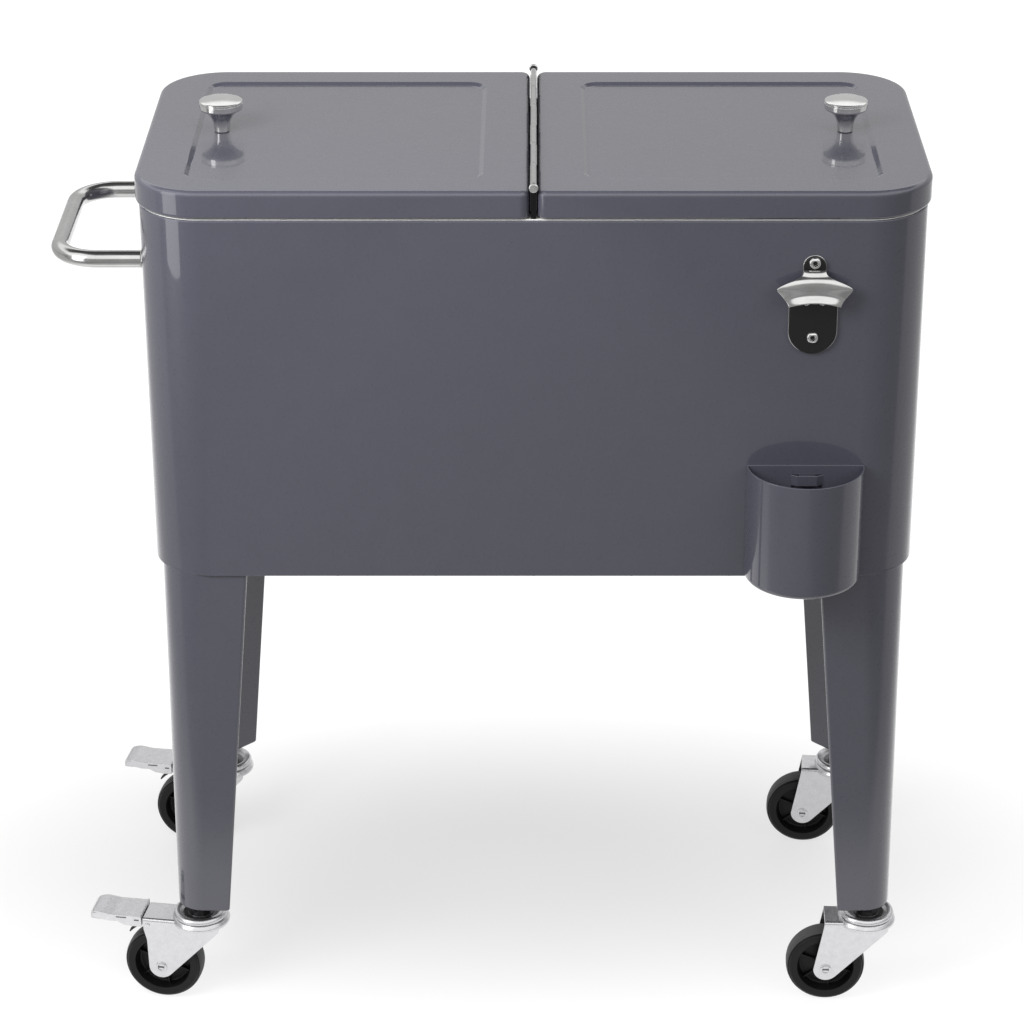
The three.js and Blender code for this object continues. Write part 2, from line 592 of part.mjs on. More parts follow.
// ---------------------------------------------------------------- casters
// Each caster is drawn with its swivel axis on Z, trailing towards -X, and turned by its yaw.
function casterStem() {
  const cup = lathe([
    [0, CUP.bottom],
    [CUP.radius - 1, CUP.bottom],
    [CUP.radius, CUP.bottom + 1],
    [CUP.radius, CUP.top - 2],
    [CUP.radius - 2, CUP.top],
    [CUP.dish + 2, CUP.top],
    [CUP.dish, CUP.top - 3],
    [0, CUP.top - 3],
  ], 20).rotateX(Math.PI / 2);
  return join(
    cup,
    rod('z', STEM.radius, CUP.top - 4, STEM.top, 0, 0, 12),
    rod('z', 9, CUP.top - 3.5, LEG.bottom - GAP, 0, 0, 6),
    rod('z', 4, FORK.top - FORK.sheet - 3, CUP.bottom + 1, 0, 0, 12),
    rod('z', 8, FORK.top - FORK.sheet - 4, FORK.top - FORK.sheet - GAP, 0, 0, 12),
  );
}

/** Side cheek of a fork in (x, z); a braked fork reaches further back to carry the pedal. */
function cheekOutline(brake) {
  const { tip, top } = FORK;
  const nose = 20;
  const outline = new THREE.Shape();
  outline.moveTo(nose, top);
  outline.lineTo(nose, top - 8);
  outline.lineTo(-TRAIL + tip * 0.7, WHEEL.radius - tip * 0.72);
  outline.absarc(-TRAIL, WHEEL.radius, tip, -Math.PI / 4, -Math.PI, true);
  if (brake) {
    outline.lineTo(-TRAIL - tip - 2, 66);
    outline.quadraticCurveTo(-TRAIL - tip - 2.5, 76, -TRAIL - tip - 4, 79);
    outline.lineTo(-54, 80);
    outline.lineTo(-54.5, top);
  } else {
    outline.lineTo(-40, top);
  }
  return outline;
}

function forkBody(brake) {
  const { half, sheet, top, raceTop, raceRadius } = FORK;
  const rear = brake ? -54.5 : -40;
  const cheek = cheekOutline(brake);
  const joined = join(
    block(rear, -half, top - sheet, 0, half, top),
    rod('z', raceRadius, top - sheet, raceTop, 0, 0, 20),
    sidePrism(cheek, -half, -half + sheet),
    sidePrism(cheek, half - sheet, half),
  );
  const cuts = [
    rod('z', 4 + GAP, 60, 120, 0, 0, 12),
    rod('y', AXLE.radius + GAP, -30, 30, -TRAIL, WHEEL.radius, 12),
  ];
  if (brake) {
    cuts.push(rod('y', 2 + GAP, -30, 30, PEDAL_PIVOT.x, PEDAL_PIVOT.z, 12));
  }
  return cut(joined, ...cuts);
}

function axleBolt() {
  const reach = FORK.half + GAP;
  return join(
    rod('y', AXLE.radius, -reach - 1, reach + 1, -TRAIL, WHEEL.radius, 12),
    rod('y', AXLE.head, -reach - AXLE.headLength, -reach, -TRAIL, WHEEL.radius, 12),
    rod('y', AXLE.head, reach, reach + AXLE.headLength, -TRAIL, WHEEL.radius, 6),
  );
}

/** Moulded wheel: a rounded tread, a thin web set in from both faces and a long hub. */
function wheelBody() {
  const { radius, halfWidth, hubHalf, bore } = WHEEL;
  const half = [
    [bore, hubHalf], [10, hubHalf], [10, 3], [26, 3],
    [28, halfWidth], [33.5, halfWidth], [36.8, halfWidth - 3.5], [radius, halfWidth - 8],
  ];
  const mirrored = half.map(([r, h]) => [r, -h]).reverse();
  return lathe([...half, ...mirrored, half[0]].reverse(), 24);
}

/** Brake pedal: a channel behind the fork, kinked up at its end, with a tongue around the pivot. */
function pedalBody() {
  const half = FORK.half;
  const start = -56.5;
  const plate = [
    point(start, 95), point(-89, 97), point(-96, 101), point(-107, 99.5),
    point(-107, 97), point(-97, 98.5), point(-90, 94.5), point(start, 92.5),
  ];
  const flange = [
    point(start, 94.5), point(-89, 96.5), point(-96, 100), point(-103, 98), point(-94, 91),
    point(-80, 83), point(-66, 81), point(start, 82),
  ];
  const tongue = [
    point(start - 3, 80.5), point(start - 3, 94), point(start + 0.5, 94), point(start + 0.5, 88),
    point(-47, 88), point(-46, 85), point(-47, 80.5),
  ];
  const joined = join(
    sidePrism(plate, -half, half),
    sidePrism(flange, -half, -half + 2),
    sidePrism(flange, half - 2, half),
    sidePrism(tongue, -half + FORK.sheet + 0.5, half - FORK.sheet - 0.5),
  );
  return cut(joined, rod('y', 2 + GAP, -30, 30, PEDAL_PIVOT.x, PEDAL_PIVOT.z, 12));
}

/** Curved strip that the pedal presses on the tread. */
function brakeShoe() {
  const inner = 44;
  const outer = 45.6;
  const outline = new THREE.Shape();
  const from = THREE.MathUtils.degToRad(116);
  const to = THREE.MathUtils.degToRad(142);
  outline.absarc(-TRAIL, WHEEL.radius, outer, from, to, false);
  outline.absarc(-TRAIL, WHEEL.radius, inner, to, from, true);
  const pad = block(-59.3, -9, 77, -56, 9, 80.2);
  return join(sidePrism(outline, -9, 9, 3), pad);
}

function buildCaster({ name, side, depth, yaw, brake }) {
  const caster = new THREE.Group();
  caster.position.set(side * STEM.x, depth * STEM.y, 0);
  caster.rotation.z = THREE.MathUtils.degToRad(-yaw);
  cooler.add(caster);
  add(`caster_stem_${name}`, casterStem(), ZINC, caster);
  add(`caster_fork_${name}`, forkBody(brake), ZINC, caster);
  add(`axle_${name}`, axleBolt(), ZINC, caster);
  const wheel = add(`wheel_${name}`, wheelBody(), BLACK_PLASTIC, caster);
  wheel.position.set(-TRAIL, 0, WHEEL.radius);
  if (brake) {
    add(`brake_pedal_${name}`, pedalBody(), ZINC, caster);
    add(`brake_shoe_${name}`, brakeShoe(), BLACK_PLASTIC, caster);
    add(`brake_pivot_${name}`, rod('y', 2, -FORK.half - 1, FORK.half + 1, PEDAL_PIVOT.x, PEDAL_PIVOT.z, 12),
      ZINC, caster);
  }
}

// ---------------------------------------------------------------- assembly
buildShell();
buildTub();
buildDrain();
buildSupportBar();
buildLid(-1, 'left_lid');
buildLid(1, 'right_lid');
buildHandle();
buildOpener();
buildCatcher();
for (const caster of CASTERS) {
  buildLeg(caster.name, caster.side, caster.depth);
  buildCaster(caster);
}

// The origin is on the floor, at the middle of the whole object.
const extent = new THREE.Box3().setFromObject(cooler, true);
const middle = extent.getCenter(new THREE.Vector3());
cooler.position.set(-middle.x, -middle.y, 0);

export default cooler;
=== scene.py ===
"""Patio cooler on wheels: the detailed visual model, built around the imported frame.

Lengths are millimetres. X runs to the right of the front and Y to the rear, both from the middle of the
body, and Z goes up from the floor. new_piece() turns them into the frame's metres.
"""
import math

import bmesh
import bpy
from mathutils import Matrix, Vector


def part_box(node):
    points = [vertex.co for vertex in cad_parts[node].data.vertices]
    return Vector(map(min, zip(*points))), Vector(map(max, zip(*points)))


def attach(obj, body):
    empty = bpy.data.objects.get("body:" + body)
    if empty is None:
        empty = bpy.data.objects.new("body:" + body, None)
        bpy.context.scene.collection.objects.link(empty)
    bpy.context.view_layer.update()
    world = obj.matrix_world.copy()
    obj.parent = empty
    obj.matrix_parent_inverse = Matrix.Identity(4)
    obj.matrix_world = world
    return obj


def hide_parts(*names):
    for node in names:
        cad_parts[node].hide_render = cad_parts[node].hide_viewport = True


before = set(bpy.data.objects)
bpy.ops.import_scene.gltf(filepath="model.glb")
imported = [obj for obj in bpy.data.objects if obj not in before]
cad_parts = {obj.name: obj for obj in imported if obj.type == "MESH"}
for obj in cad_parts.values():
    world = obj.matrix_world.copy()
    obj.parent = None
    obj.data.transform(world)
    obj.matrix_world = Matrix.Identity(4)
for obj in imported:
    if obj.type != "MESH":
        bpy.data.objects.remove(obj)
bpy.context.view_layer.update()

MM = 0.001
SHARP = math.radians(38)  # edges bent more than this stay sharp in the shading


def middle_of_body():
    low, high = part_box("outer_shell")
    return Vector(((low.x + high.x) / 2, (low.y + high.y) / 2, 0))


MIDDLE = middle_of_body()


def span(node):
    """Lowest and highest corner of a CAD node, in this script's millimetres."""
    low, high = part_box(node)
    return (low - MIDDLE) / MM, (high - MIDDLE) / MM


def centre(node):
    low, high = span(node)
    return (low + high) / 2


# ---------------------------------------------------------------- outlines
def arc(x, y, radius, start, end, steps=8):
    """Points of an arc around (x, y) with both its ends; angles are in degrees."""
    points = []
    for index in range(steps + 1):
        angle = math.radians(start + (end - start) * index / steps)
        points.append((x + radius * math.cos(angle), y + radius * math.sin(angle)))
    return points


def rounded(x0, y0, x1, y1, radii, steps=20):
    """Rectangle with four corner radii: front left, front right, rear right, rear left."""
    a, b, c, d = (max(radius, 0.4) for radius in radii)
    return (
        arc(x0 + a, y0 + a, a, 180, 270, steps)
        + arc(x1 - b, y0 + b, b, 270, 360, steps)
        + arc(x1 - c, y1 - c, c, 0, 90, steps)
        + arc(x0 + d, y1 - d, d, 90, 180, steps)
    )


def fillet(points, closed=True, steps=5):
    """Outline with rounded corners: a third number in a point is its radius, none is a sharp corner."""
    result = []
    for index, corner in enumerate(points):
        here = Vector(corner[:2])
        at_end = not closed and index in (0, len(points) - 1)
        if at_end or len(corner) < 3:
            result.append(tuple(here))
            continue
        back = Vector(points[index - 1][:2]) - here
        ahead = Vector(points[(index + 1) % len(points)][:2]) - here
        half = back.angle(ahead) / 2
        reach = min(corner[2] / math.tan(half), 0.48 * back.length, 0.48 * ahead.length)
        bisector = (back.normalized() + ahead.normalized()).normalized()
        middle = here + bisector * (reach / math.cos(half))
        first = here + back.normalized() * reach - middle
        last = here + ahead.normalized() * reach - middle
        turn = math.atan2(first.x * last.y - first.y * last.x, first.dot(last))
        for step in range(steps + 1):
            angle = turn * step / steps
            x = first.x * math.cos(angle) - first.y * math.sin(angle)
            y = first.x * math.sin(angle) + first.y * math.cos(angle)
            result.append((middle.x + x, middle.y + y))
    return result


# ---------------------------------------------------------------- shapes: (points, faces)
def loft(rings, closed=False, caps=(True, True)):
    """Skin over rings of equally many points. Closed joins the last ring to the first."""
    count = len(rings[0])
    points = [point for ring in rings for point in ring]
    faces = []
    for row in range(len(rings) - (0 if closed else 1)):
        here = row * count
        ahead = (row + 1) % len(rings) * count
        for index in range(count):
            after = (index + 1) % count
            faces.append((here + index, here + after, ahead + after, ahead + index))
    if not closed and caps[0]:
        faces.append(tuple(reversed(range(count))))
    if not closed and caps[1]:
        last = (len(rings) - 1) * count
        faces.append(tuple(range(last, last + count)))
    return points, faces


def wrap(outline, profile, closed=False, caps=(True, True)):
    """Skin that follows an outline: outline(inset) gives its plan, and profile its (inset, z) pairs."""
    rings = [[(x, y, z) for x, y in outline(inset)] for inset, z in profile]
    return loft(rings, closed, caps)


def revolve(profile, segments=48):
    """Turned shape about Z from (radius, z) pairs. A profile that leaves the axis closes on itself."""
    rings = []
    for index in range(segments):
        angle = 2 * math.pi * index / segments
        rings.append([(r * math.cos(angle), r * math.sin(angle), z) for r, z in profile])
    return loft(rings, closed=True)


def bar(radius, low, high, segments=20):
    """Round bar about Z between two heights."""
    return revolve([(0, low), (radius, low), (radius, high), (0, high)], segments)


def ring_of(count, radius):
    """Corners of a regular polygon, the first one on X."""
    angles = [2 * math.pi / count * index for index in range(count)]
    return [(radius * math.cos(angle), radius * math.sin(angle)) for angle in angles]


def slab(outline, low, high):
    """Prism of an outline drawn in XY between two heights."""
    return loft([[(x, y, z) for x, y in outline] for z in (low, high)])


def box(x0, y0, z0, x1, y1, z1):
    return slab([(x0, y0), (x1, y0), (x1, y1), (x0, y1)], z0, z1)


def tube(path, radius, sides=32):
    """Round bar along a path; each ring stands square to it."""
    points = [Vector(point) for point in path]
    rings = []
    for index, point in enumerate(points):
        ahead = points[min(index + 1, len(points) - 1)]
        back = points[max(index - 1, 0)]
        along = (ahead - back).normalized()
        across = along.cross(Vector((0, 0, 1))).normalized()
        upward = across.cross(along)
        ring = []
        for side in range(sides):
            angle = 2 * math.pi * side / sides
            ring.append(tuple(point + radius * (math.cos(angle) * across + math.sin(angle) * upward)))
        rings.append(ring)
    return loft(rings)


def moved(shape, place):
    points, faces = shape
    return [tuple(place @ Vector(point)) for point in points], faces


def merged(*shapes):
    points, faces = [], []
    for some_points, some_faces in shapes:
        start = len(points)
        points += some_points
        faces += [tuple(start + index for index in face) for face in some_faces]
    return points, faces


def at(x, y, z):
    return Matrix.Translation((x, y, z))


UPRIGHT = Matrix.Rotation(math.pi / 2, 4, "X")  # (x, y, z) to (x, -z, y): a plan becomes a front view
ALONG_Y = Matrix.Rotation(-math.pi / 2, 4, "X")  # turns Z towards +Y
ALONG_X = Matrix.Rotation(math.pi / 2, 4, "Y")  # turns Z towards +X


# ---------------------------------------------------------------- pieces
def tidy(mesh):
    """Merges doubled points, turns the faces outwards and smooths all but the sharp edges."""
    work = bmesh.new()
    work.from_mesh(mesh)
    bmesh.ops.remove_doubles(work, verts=work.verts, dist=0.004 * MM)
    bmesh.ops.dissolve_degenerate(work, edges=work.edges, dist=0.002 * MM)
    bmesh.ops.recalc_face_normals(work, faces=work.faces)
    work.to_mesh(mesh)
    work.free()
    mesh.shade_smooth()
    mesh.set_sharp_from_angle(angle=SHARP)


def new_piece(name, shape, place=Matrix.Identity(4)):
    """Object from a shape in millimetres; place stands the shape's own axes in the body's frame."""
    points, faces = shape
    mesh = bpy.data.meshes.new(name)
    mesh.from_pydata([MIDDLE + (place @ Vector(point)) * MM for point in points], [], faces)
    tidy(mesh)
    piece = bpy.data.objects.new(name, mesh)
    bpy.context.scene.collection.objects.link(piece)
    return piece


def combine(piece, shape, operation="DIFFERENCE", place=Matrix.Identity(4)):
    """Cuts, joins or intersects a piece with another shape."""
    other = new_piece("tool", shape, place)
    modifier = piece.modifiers.new("combine", "BOOLEAN")
    modifier.operation = operation
    modifier.object = other
    modifier.solver = "EXACT"
    graph = bpy.context.evaluated_depsgraph_get()
    result = bpy.data.meshes.new_from_object(piece.evaluated_get(graph))
    piece.modifiers.clear()
    piece.data = result
    bpy.data.objects.remove(other, do_unlink=True)
    tidy(piece.data)
    return piece


def round_edges(piece, width, segments=2):
    """Small radius on the sharp edges of pressed or moulded parts."""
    bevel = piece.modifiers.new("edges", "BEVEL")
    bevel.width = width * MM
    bevel.segments = segments
    bevel.limit_method = "ANGLE"
    bevel.angle_limit = SHARP
    bevel.use_clamp_overlap = True
    return piece


def settle(piece, body, slot, *nodes, look=None):
    """Gives a piece its finish, and stands it on its body in place of CAD nodes."""
    weighted = piece.modifiers.new("normals", "WEIGHTED_NORMAL")
    weighted.keep_sharp = True
    piece.data.materials.clear()
    piece.data.materials.append(FINISHES[look or slot])
    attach(piece, body)
    if nodes:
        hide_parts(*nodes)
    return piece


# ---------------------------------------------------------------- finishes
def linear(*levels):
    """Colour from 0-255 display levels."""
    values = [level / 255 for level in levels]
    return [v / 12.92 if v <= 0.04045 else ((v + 0.055) / 1.055) ** 2.4 for v in values] + [1.0]


def noise(tree, scale, stretch=(1, 1, 1), detail=2.0):
    """Noise over the piece, scale in cells per metre. A stretch under 1 draws it out along that axis."""
    coordinates = tree.nodes.new("ShaderNodeTexCoord")
    mapping = tree.nodes.new("ShaderNodeMapping")
    mapping.inputs["Scale"].default_value = stretch
    texture = tree.nodes.new("ShaderNodeTexNoise")
    texture.inputs["Scale"].default_value = scale
    texture.inputs["Detail"].default_value = detail
    tree.links.new(coordinates.outputs["Object"], mapping.inputs["Vector"])
    tree.links.new(mapping.outputs["Vector"], texture.inputs["Vector"])
    return texture.outputs["Fac"]


def between(tree, value, low, high):
    """Maps a noise value to a range."""
    node = tree.nodes.new("ShaderNodeMapRange")
    node.inputs["From Min"].default_value = 0.3
    node.inputs["From Max"].default_value = 0.7
    node.inputs["To Min"].default_value = low
    node.inputs["To Max"].default_value = high
    tree.links.new(value, node.inputs["Value"])
    return node.outputs["Result"]


def finish(name, color, roughness, metallic=0.0, mottle=(40, 0.05), grain=(900, 0.02),
           stretch=(1, 1, 1), **more):
    """Procedural material.

    roughness is its range, mottle the (scale, amount) of its uneven colour, and grain the (scale, height
    in millimetres) of its surface, which stretch draws out along an axis. The rest are shader sockets.
    """
    material = bpy.data.materials.new(name)
    material.use_nodes = True
    tree = material.node_tree
    shader = tree.nodes["Principled BSDF"]
    shader.inputs["Metallic"].default_value = metallic
    for socket, value in more.items():
        shader.inputs[socket.replace("_", " ")].default_value = value

    patches = noise(tree, mottle[0], detail=4.0)
    mix = tree.nodes.new("ShaderNodeMix")
    mix.data_type = "RGBA"
    tree.links.new(between(tree, patches, 0, 1), mix.inputs["Factor"])
    for socket, factor in (("A", 1 - mottle[1]), ("B", 1 + mottle[1])):
        shade = [channel * factor for channel in color[:3]] + [1.0]
        color_socket = next(s for s in mix.inputs if s.name == socket and s.type == "RGBA")
        color_socket.default_value = shade
    color_out = next(s for s in mix.outputs if s.type == "RGBA")
    tree.links.new(color_out, shader.inputs["Base Color"])

    fine = noise(tree, grain[0], stretch)
    tree.links.new(between(tree, fine, *roughness), shader.inputs["Roughness"])
    bump = tree.nodes.new("ShaderNodeBump")
    bump.inputs["Strength"].default_value = 1.0
    bump.inputs["Distance"].default_value = grain[1] * MM
    tree.links.new(fine, bump.inputs["Height"])
    tree.links.new(bump.outputs["Normal"], shader.inputs["Normal"])
    return material


FINISHES = {
    "body_paint": finish(
        "body_paint", linear(68, 68, 78), (0.26, 0.32), mottle=(40, 0.02), grain=(160, 0.002),
        Coat_Weight=1.0, Coat_Roughness=0.03, Coat_IOR=1.5, Specular_IOR_Level=0.3,
    ),
    "liner_white": finish("liner_white", linear(208, 208, 205), (0.35, 0.5), grain=(1500, 0.03)),
    "foam": finish("foam", linear(230, 214, 170), (0.8, 0.95), mottle=(300, 0.1), grain=(600, 0.3)),
    # black so the gap between the lids reads dark: painted shade
    "black_bar": finish(
        "black_bar", linear(14, 14, 15), (0.5, 0.65), grain=(1800, 0.02), Specular_IOR_Level=0.2,
    ),
    "steel": finish(
        "steel", linear(200, 200, 199), (0.13, 0.22), metallic=1.0, mottle=(60, 0.06),
        grain=(1600, 0.004), stretch=(0.06, 1, 1),
    ),
    "zinc": finish(
        "zinc", linear(206, 206, 208), (0.26, 0.36), metallic=1.0, mottle=(160, 0.04), grain=(700, 0.004),
    ),
    # darker copy of the steel, zinc and chrome: painted shade for the cup's dish, the slots and the hinge
    # deep in its gap
    "painted_shade_metal": finish(
        "painted_shade_metal", linear(96, 96, 98), (0.2, 0.34), metallic=1.0, mottle=(220, 0.2), grain=(700, 0.01),
    ),
    "chrome": finish(
        "chrome", linear(222, 222, 221), (0.08, 0.15), metallic=1.0, mottle=(90, 0.03), grain=(500, 0.003),
    ),
    "opener_black": finish(
        "opener_black", linear(12, 12, 13), (0.3, 0.36), mottle=(60, 0.04), grain=(300, 0.002),
    ),
    # lighter, rougher copy of the wheel's black plastic: painted sheen on the tread
    "tread": finish("tread", linear(58, 58, 59), (0.55, 0.7), mottle=(150, 0.12), grain=(1500, 0.04)),
    "rubber": finish("rubber", linear(34, 34, 35), (0.6, 0.75), grain=(1800, 0.03)),
    "wheel_black": finish(
        "wheel_black", linear(11, 11, 12), (0.42, 0.55), mottle=(120, 0.15),
        grain=(900, 0.02), Specular_IOR_Level=0.25,
    ),
}

# ---------------------------------------------------------------- body
SHELL_LOW, SHELL_HIGH = span("outer_shell")
HALF_X, HALF_Y = SHELL_HIGH.x, SHELL_HIGH.y
BODY_BOTTOM, BODY_TOP = SHELL_LOW.z, SHELL_HIGH.z
BODY_CORNER = 58
RIM_WIDTH = 7  # painted rim rolled in over the top of the wall
HEM_WIDTH = 9  # flange turned in along the bottom
FLANGE_EDGE = 0.9  # how much of the tub's flange shows above the painted rim


def body_plan(inset):
    x, y = HALF_X - inset, HALF_Y - inset
    return rounded(-x, -y, x, y, [BODY_CORNER - inset] * 4, steps=24)


def build_shell():
    sheet = 1.4
    top = BODY_TOP - FLANGE_EDGE
    profile = fillet([
        (0, BODY_BOTTOM, 0.6),
        (0, top, 1.6),
        (RIM_WIDTH, top, 0.6),
        (RIM_WIDTH, top - sheet),
        (sheet, top - sheet),
        (sheet, BODY_BOTTOM + sheet),
        (HEM_WIDTH, BODY_BOTTOM + sheet),
        (HEM_WIDTH, BODY_BOTTOM, 0.5),
    ])
    shapes = [wrap(body_plan, profile, closed=True)]
    rivet = revolve([(0, -1.8), (1.4, -1.6), (2.5, -0.8), (2.7, 0.4), (0, 0.4)], 20)
    for side in (-1, 1):
        for index in range(-2, 3):
            shapes.append(moved(rivet, at(90 * index, side * (HALF_Y - 4.5), BODY_BOTTOM)))
    settle(new_piece("shell_wall", merged(*shapes)), "cart", "body_paint", "outer_shell")


def build_tub():
    low, high = span("inner_liner")
    wall = 26  # from the outside of the shell to the inside of the tub
    skin = 2.4
    floor = span("drain_spout")[1].z - 2.3
    inside_rim = RIM_WIDTH + 0.4
    edge = 1.5
    profile = fillet([
        (wall + 20, low.z),
        (wall - skin, low.z, 12),
        (wall - skin, high.z - skin, 2),
        (inside_rim, high.z - skin),
        (inside_rim, BODY_TOP - FLANGE_EDGE + 0.02),
        (edge, BODY_TOP - FLANGE_EDGE + 0.02),
        (edge, high.z, 0.2),
        (wall, high.z, 3),
        (wall + 1.5, floor, 16),
        (wall + 45, floor),
    ], closed=False, steps=8)
    tub = new_piece("tub", wrap(body_plan, profile))
    drain = centre("drain_spout")
    drill = bar(9, low.z - 5, floor + 5, 48)
    combine(tub, drill, place=at(drain.x, drain.y, 0))
    settle(tub, "cart", "liner_white", "inner_liner")


def keep_cad(node, slot, edge=0.0):
    """A CAD node whose shape stays: it gets its finish, and a small radius on its edges."""
    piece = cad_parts[node]
    piece.data.materials.clear()
    piece.data.materials.append(FINISHES[slot])
    if edge:
        round_edges(piece, edge)


# ---------------------------------------------------------------- lids
LID_CORNER = 61
LID_INNER_CORNER = 9
LID_EDGE = 6.5  # radius along the top
LID_HEM = 3.8  # radius along the bottom
PANEL = {"inner": 48.5, "outer": 306, "half": 135, "corner": 14, "depth": 2.5, "slope": 4}
PLUG = {"inner": 22, "outer": 318, "half": 141, "bottom": 806, "corner": 26}


def lid_plan(side, inset):
    """Plan of a lid moved inwards by a distance; side is 1 for the right lid and -1 for the left one."""
    low, high = span("right_lid_shell")
    inner, outer = low.x + inset, high.x - inset
    half = high.y - inset
    small, large = max(LID_INNER_CORNER - inset, 2), LID_CORNER - inset
    points = rounded(inner, -half, outer, half, (small, large, large, small))
    return [(side * x, y) for x, y in points]


def panel_plan(side, grow):
    """Plan of the recessed panel in the lid's top, its edges moved out by a distance."""
    half = PANEL["half"] + grow
    corners = [PANEL["corner"] + grow] * 4
    points = rounded(PANEL["inner"] - grow, -half, PANEL["outer"] + grow, half, corners)
    return [(side * x, y) for x, y in points]


def build_lid(side, name):
    low, high = span(f"{name}_shell")
    bottom, top = low.z, high.z
    sheet = 1.4
    hem = 8.0
    skin = fillet([
        (30, top - 6),
        (sheet, top - 6),
        (sheet, bottom + sheet),
        (hem, bottom + sheet),
        (hem, bottom, 0.5),
        (0, bottom, LID_HEM),
        (0, top, LID_EDGE),
        (LID_EDGE + 4, top),
    ], closed=False, steps=8)
    rings = [[(x, y, z) for x, y in lid_plan(side, inset)] for inset, z in skin]
    dip = fillet([
        (PANEL["slope"] + 2, top),
        (PANEL["slope"], top, 2),
        (0, top - PANEL["depth"], 2),
        (-3, top - PANEL["depth"]),
    ], closed=False, steps=4)
    rings += [[(x, y, z) for x, y in panel_plan(side, grow)] for grow, z in dip]
    settle(new_piece(f"{name}_skin", loft(rings)), name, "body_paint", f"{name}_shell")

    rim = hem + 0.4
    rim_bottom = span(f"{name}_gasket")[1].z + 0.3
    lining = [[(x, y, z) for x, y in lid_plan(side, rim)] for z in (rim_bottom + 2, rim_bottom)]
    plug = fillet([
        (0, rim_bottom, 2), (0, PLUG["bottom"], 5), (12, PLUG["bottom"], 3), (18, PLUG["bottom"] + 4),
    ], closed=False)
    for inset, z in plug:
        half = PLUG["half"] - inset
        small = PLUG["corner"] / 2 - inset / 2
        large = PLUG["corner"] - inset / 2
        corners = (small, large, large, small)
        plan = rounded(PLUG["inner"] + inset, -half, PLUG["outer"] - inset, half, corners)
        lining.append([(side * x, y, z) for x, y in plan])
    piece = new_piece(f"{name}_lining", loft(lining))
    settle(piece, name, "liner_white", f"{name}_liner", f"{name}_foam")

    seal_low, seal_high = span(f"{name}_gasket")
    middle = (seal_low.z + seal_high.z) / 2
    half = (seal_high.z - seal_low.z) / 2
    seal_inset = 11.5
    seal = [(seal_inset + 2 * x, middle + half * y) for x, y in arc(0, 0, 1, 0, 330, 11)]
    shape = wrap(lambda inset: lid_plan(side, inset), seal, closed=True)
    settle(new_piece(f"{name}_seal", shape), name, "rubber", f"{name}_gasket")
    build_knob(name)
    build_leaf(side, name)


def build_knob(name):
    """Turned knob: a trumpet neck under a cap with a grooved band and a shallow crown."""
    low, high = span(f"{name}_knob")
    radius = (high.x - low.x) / 2
    height = high.z - low.z
    band_bottom = height - 9.6
    neck = [(6.6, 0), (7.1, 0.5)]
    for step in range(1, 17):
        t = step / 16
        neck.append((7.1 + 1.0 * t + (radius - 10.8) * t ** 3.2, 0.5 + (band_bottom - 1.4) * t))
    cap = fillet([
        (radius - 2.6, band_bottom - 0.8),
        (radius - 0.3, band_bottom, 0.8),
        (radius, band_bottom + 1.2, 0.5),
        (radius, height - 4.2, 0.3),
        (radius - 0.8, height - 3.9, 0.2),
        (radius - 0.8, height - 3.3, 0.2),
        (radius, height - 3.0, 0.3),
        (radius, height - 2.0, 0.4),
        (radius - 1.2, height - 1.5),
    ], closed=False)
    crown = []
    for step in range(1, 9):
        t = step / 8
        crown.append(((radius - 1.2) * (1 - t), height - 1.5 * (1 - t) ** 2))
    shape = revolve([(0, 0)] + neck + cap + crown, 72)
    place = at((low.x + high.x) / 2, (low.y + high.y) / 2, low.z)
    settle(new_piece(f"{name}_grip", shape, place), name, "chrome", f"{name}_knob")
    keep_cad(f"{name}_knob_screw", "zinc")


# ---------------------------------------------------------------- hinge
def knuckle(start, end, radius):
    corners = [(0, start), (radius, start, 0.35), (radius, end, 0.35), (0, end)]
    return moved(revolve(fillet(corners, closed=False, steps=3), 28), ALONG_Y)


def build_leaf(side, name):
    """Half of the piano hinge, with every other knuckle, flush with the CAD one."""
    low, high = span(f"{name}_hinge_leaf")
    pin_low, pin_high = span("hinge_pin")
    axis_z = (pin_low.z + pin_high.z) / 2
    radius = high.z - axis_z
    reach = 166
    pitch = reach / 3
    inner, outer = sorted((side * 2, side * 3))
    # the plate between the knuckles is a darker steel: painted shade in the gap between the lids
    plate = new_piece(f"{name}_leaf_plate", box(inner, -reach + 4, low.z, outer, reach - 4, axis_z - 3))
    settle(plate, name, "steel", look="painted_shade_metal")
    shapes = []
    first = 0 if side < 0 else 1
    for index in range(first, 6, 2):
        start = -reach + index * pitch + 0.7
        end = start + pitch - 1.4
        shapes.append(moved(knuckle(start, end, radius), at(0, 0, axis_z)))
        shapes.append(box(inner, start, axis_z - 4, outer, end, axis_z))
    settle(new_piece(f"{name}_leaf", merged(*shapes)), name, "steel", f"{name}_hinge_leaf")


def build_pin():
    low, high = span("hinge_pin")
    radius = (high.x - low.x) / 2
    head = 3
    heads = []
    for start, end in ((low.y, low.y + head), (high.y - head, high.y)):
        corners = [(0, start), (radius, start, 1.0), (radius, end, 1.0), (0, end)]
        heads.append(moved(revolve(fillet(corners, closed=False, steps=6), 32), ALONG_Y))
    middle = at(0, 0, (low.z + high.z) / 2)
    settle(new_piece("hinge_pin_heads", merged(*heads), middle), "cart", "chrome", "hinge_pin")
    # the rod between the heads is a darker chrome: painted shade deep in the knuckles' gaps
    rod = bar(1.3, low.y + 1, high.y - 1, 24)
    settle(new_piece("hinge_rod", moved(rod, ALONG_Y), middle), "cart", "chrome", look="painted_shade_metal")


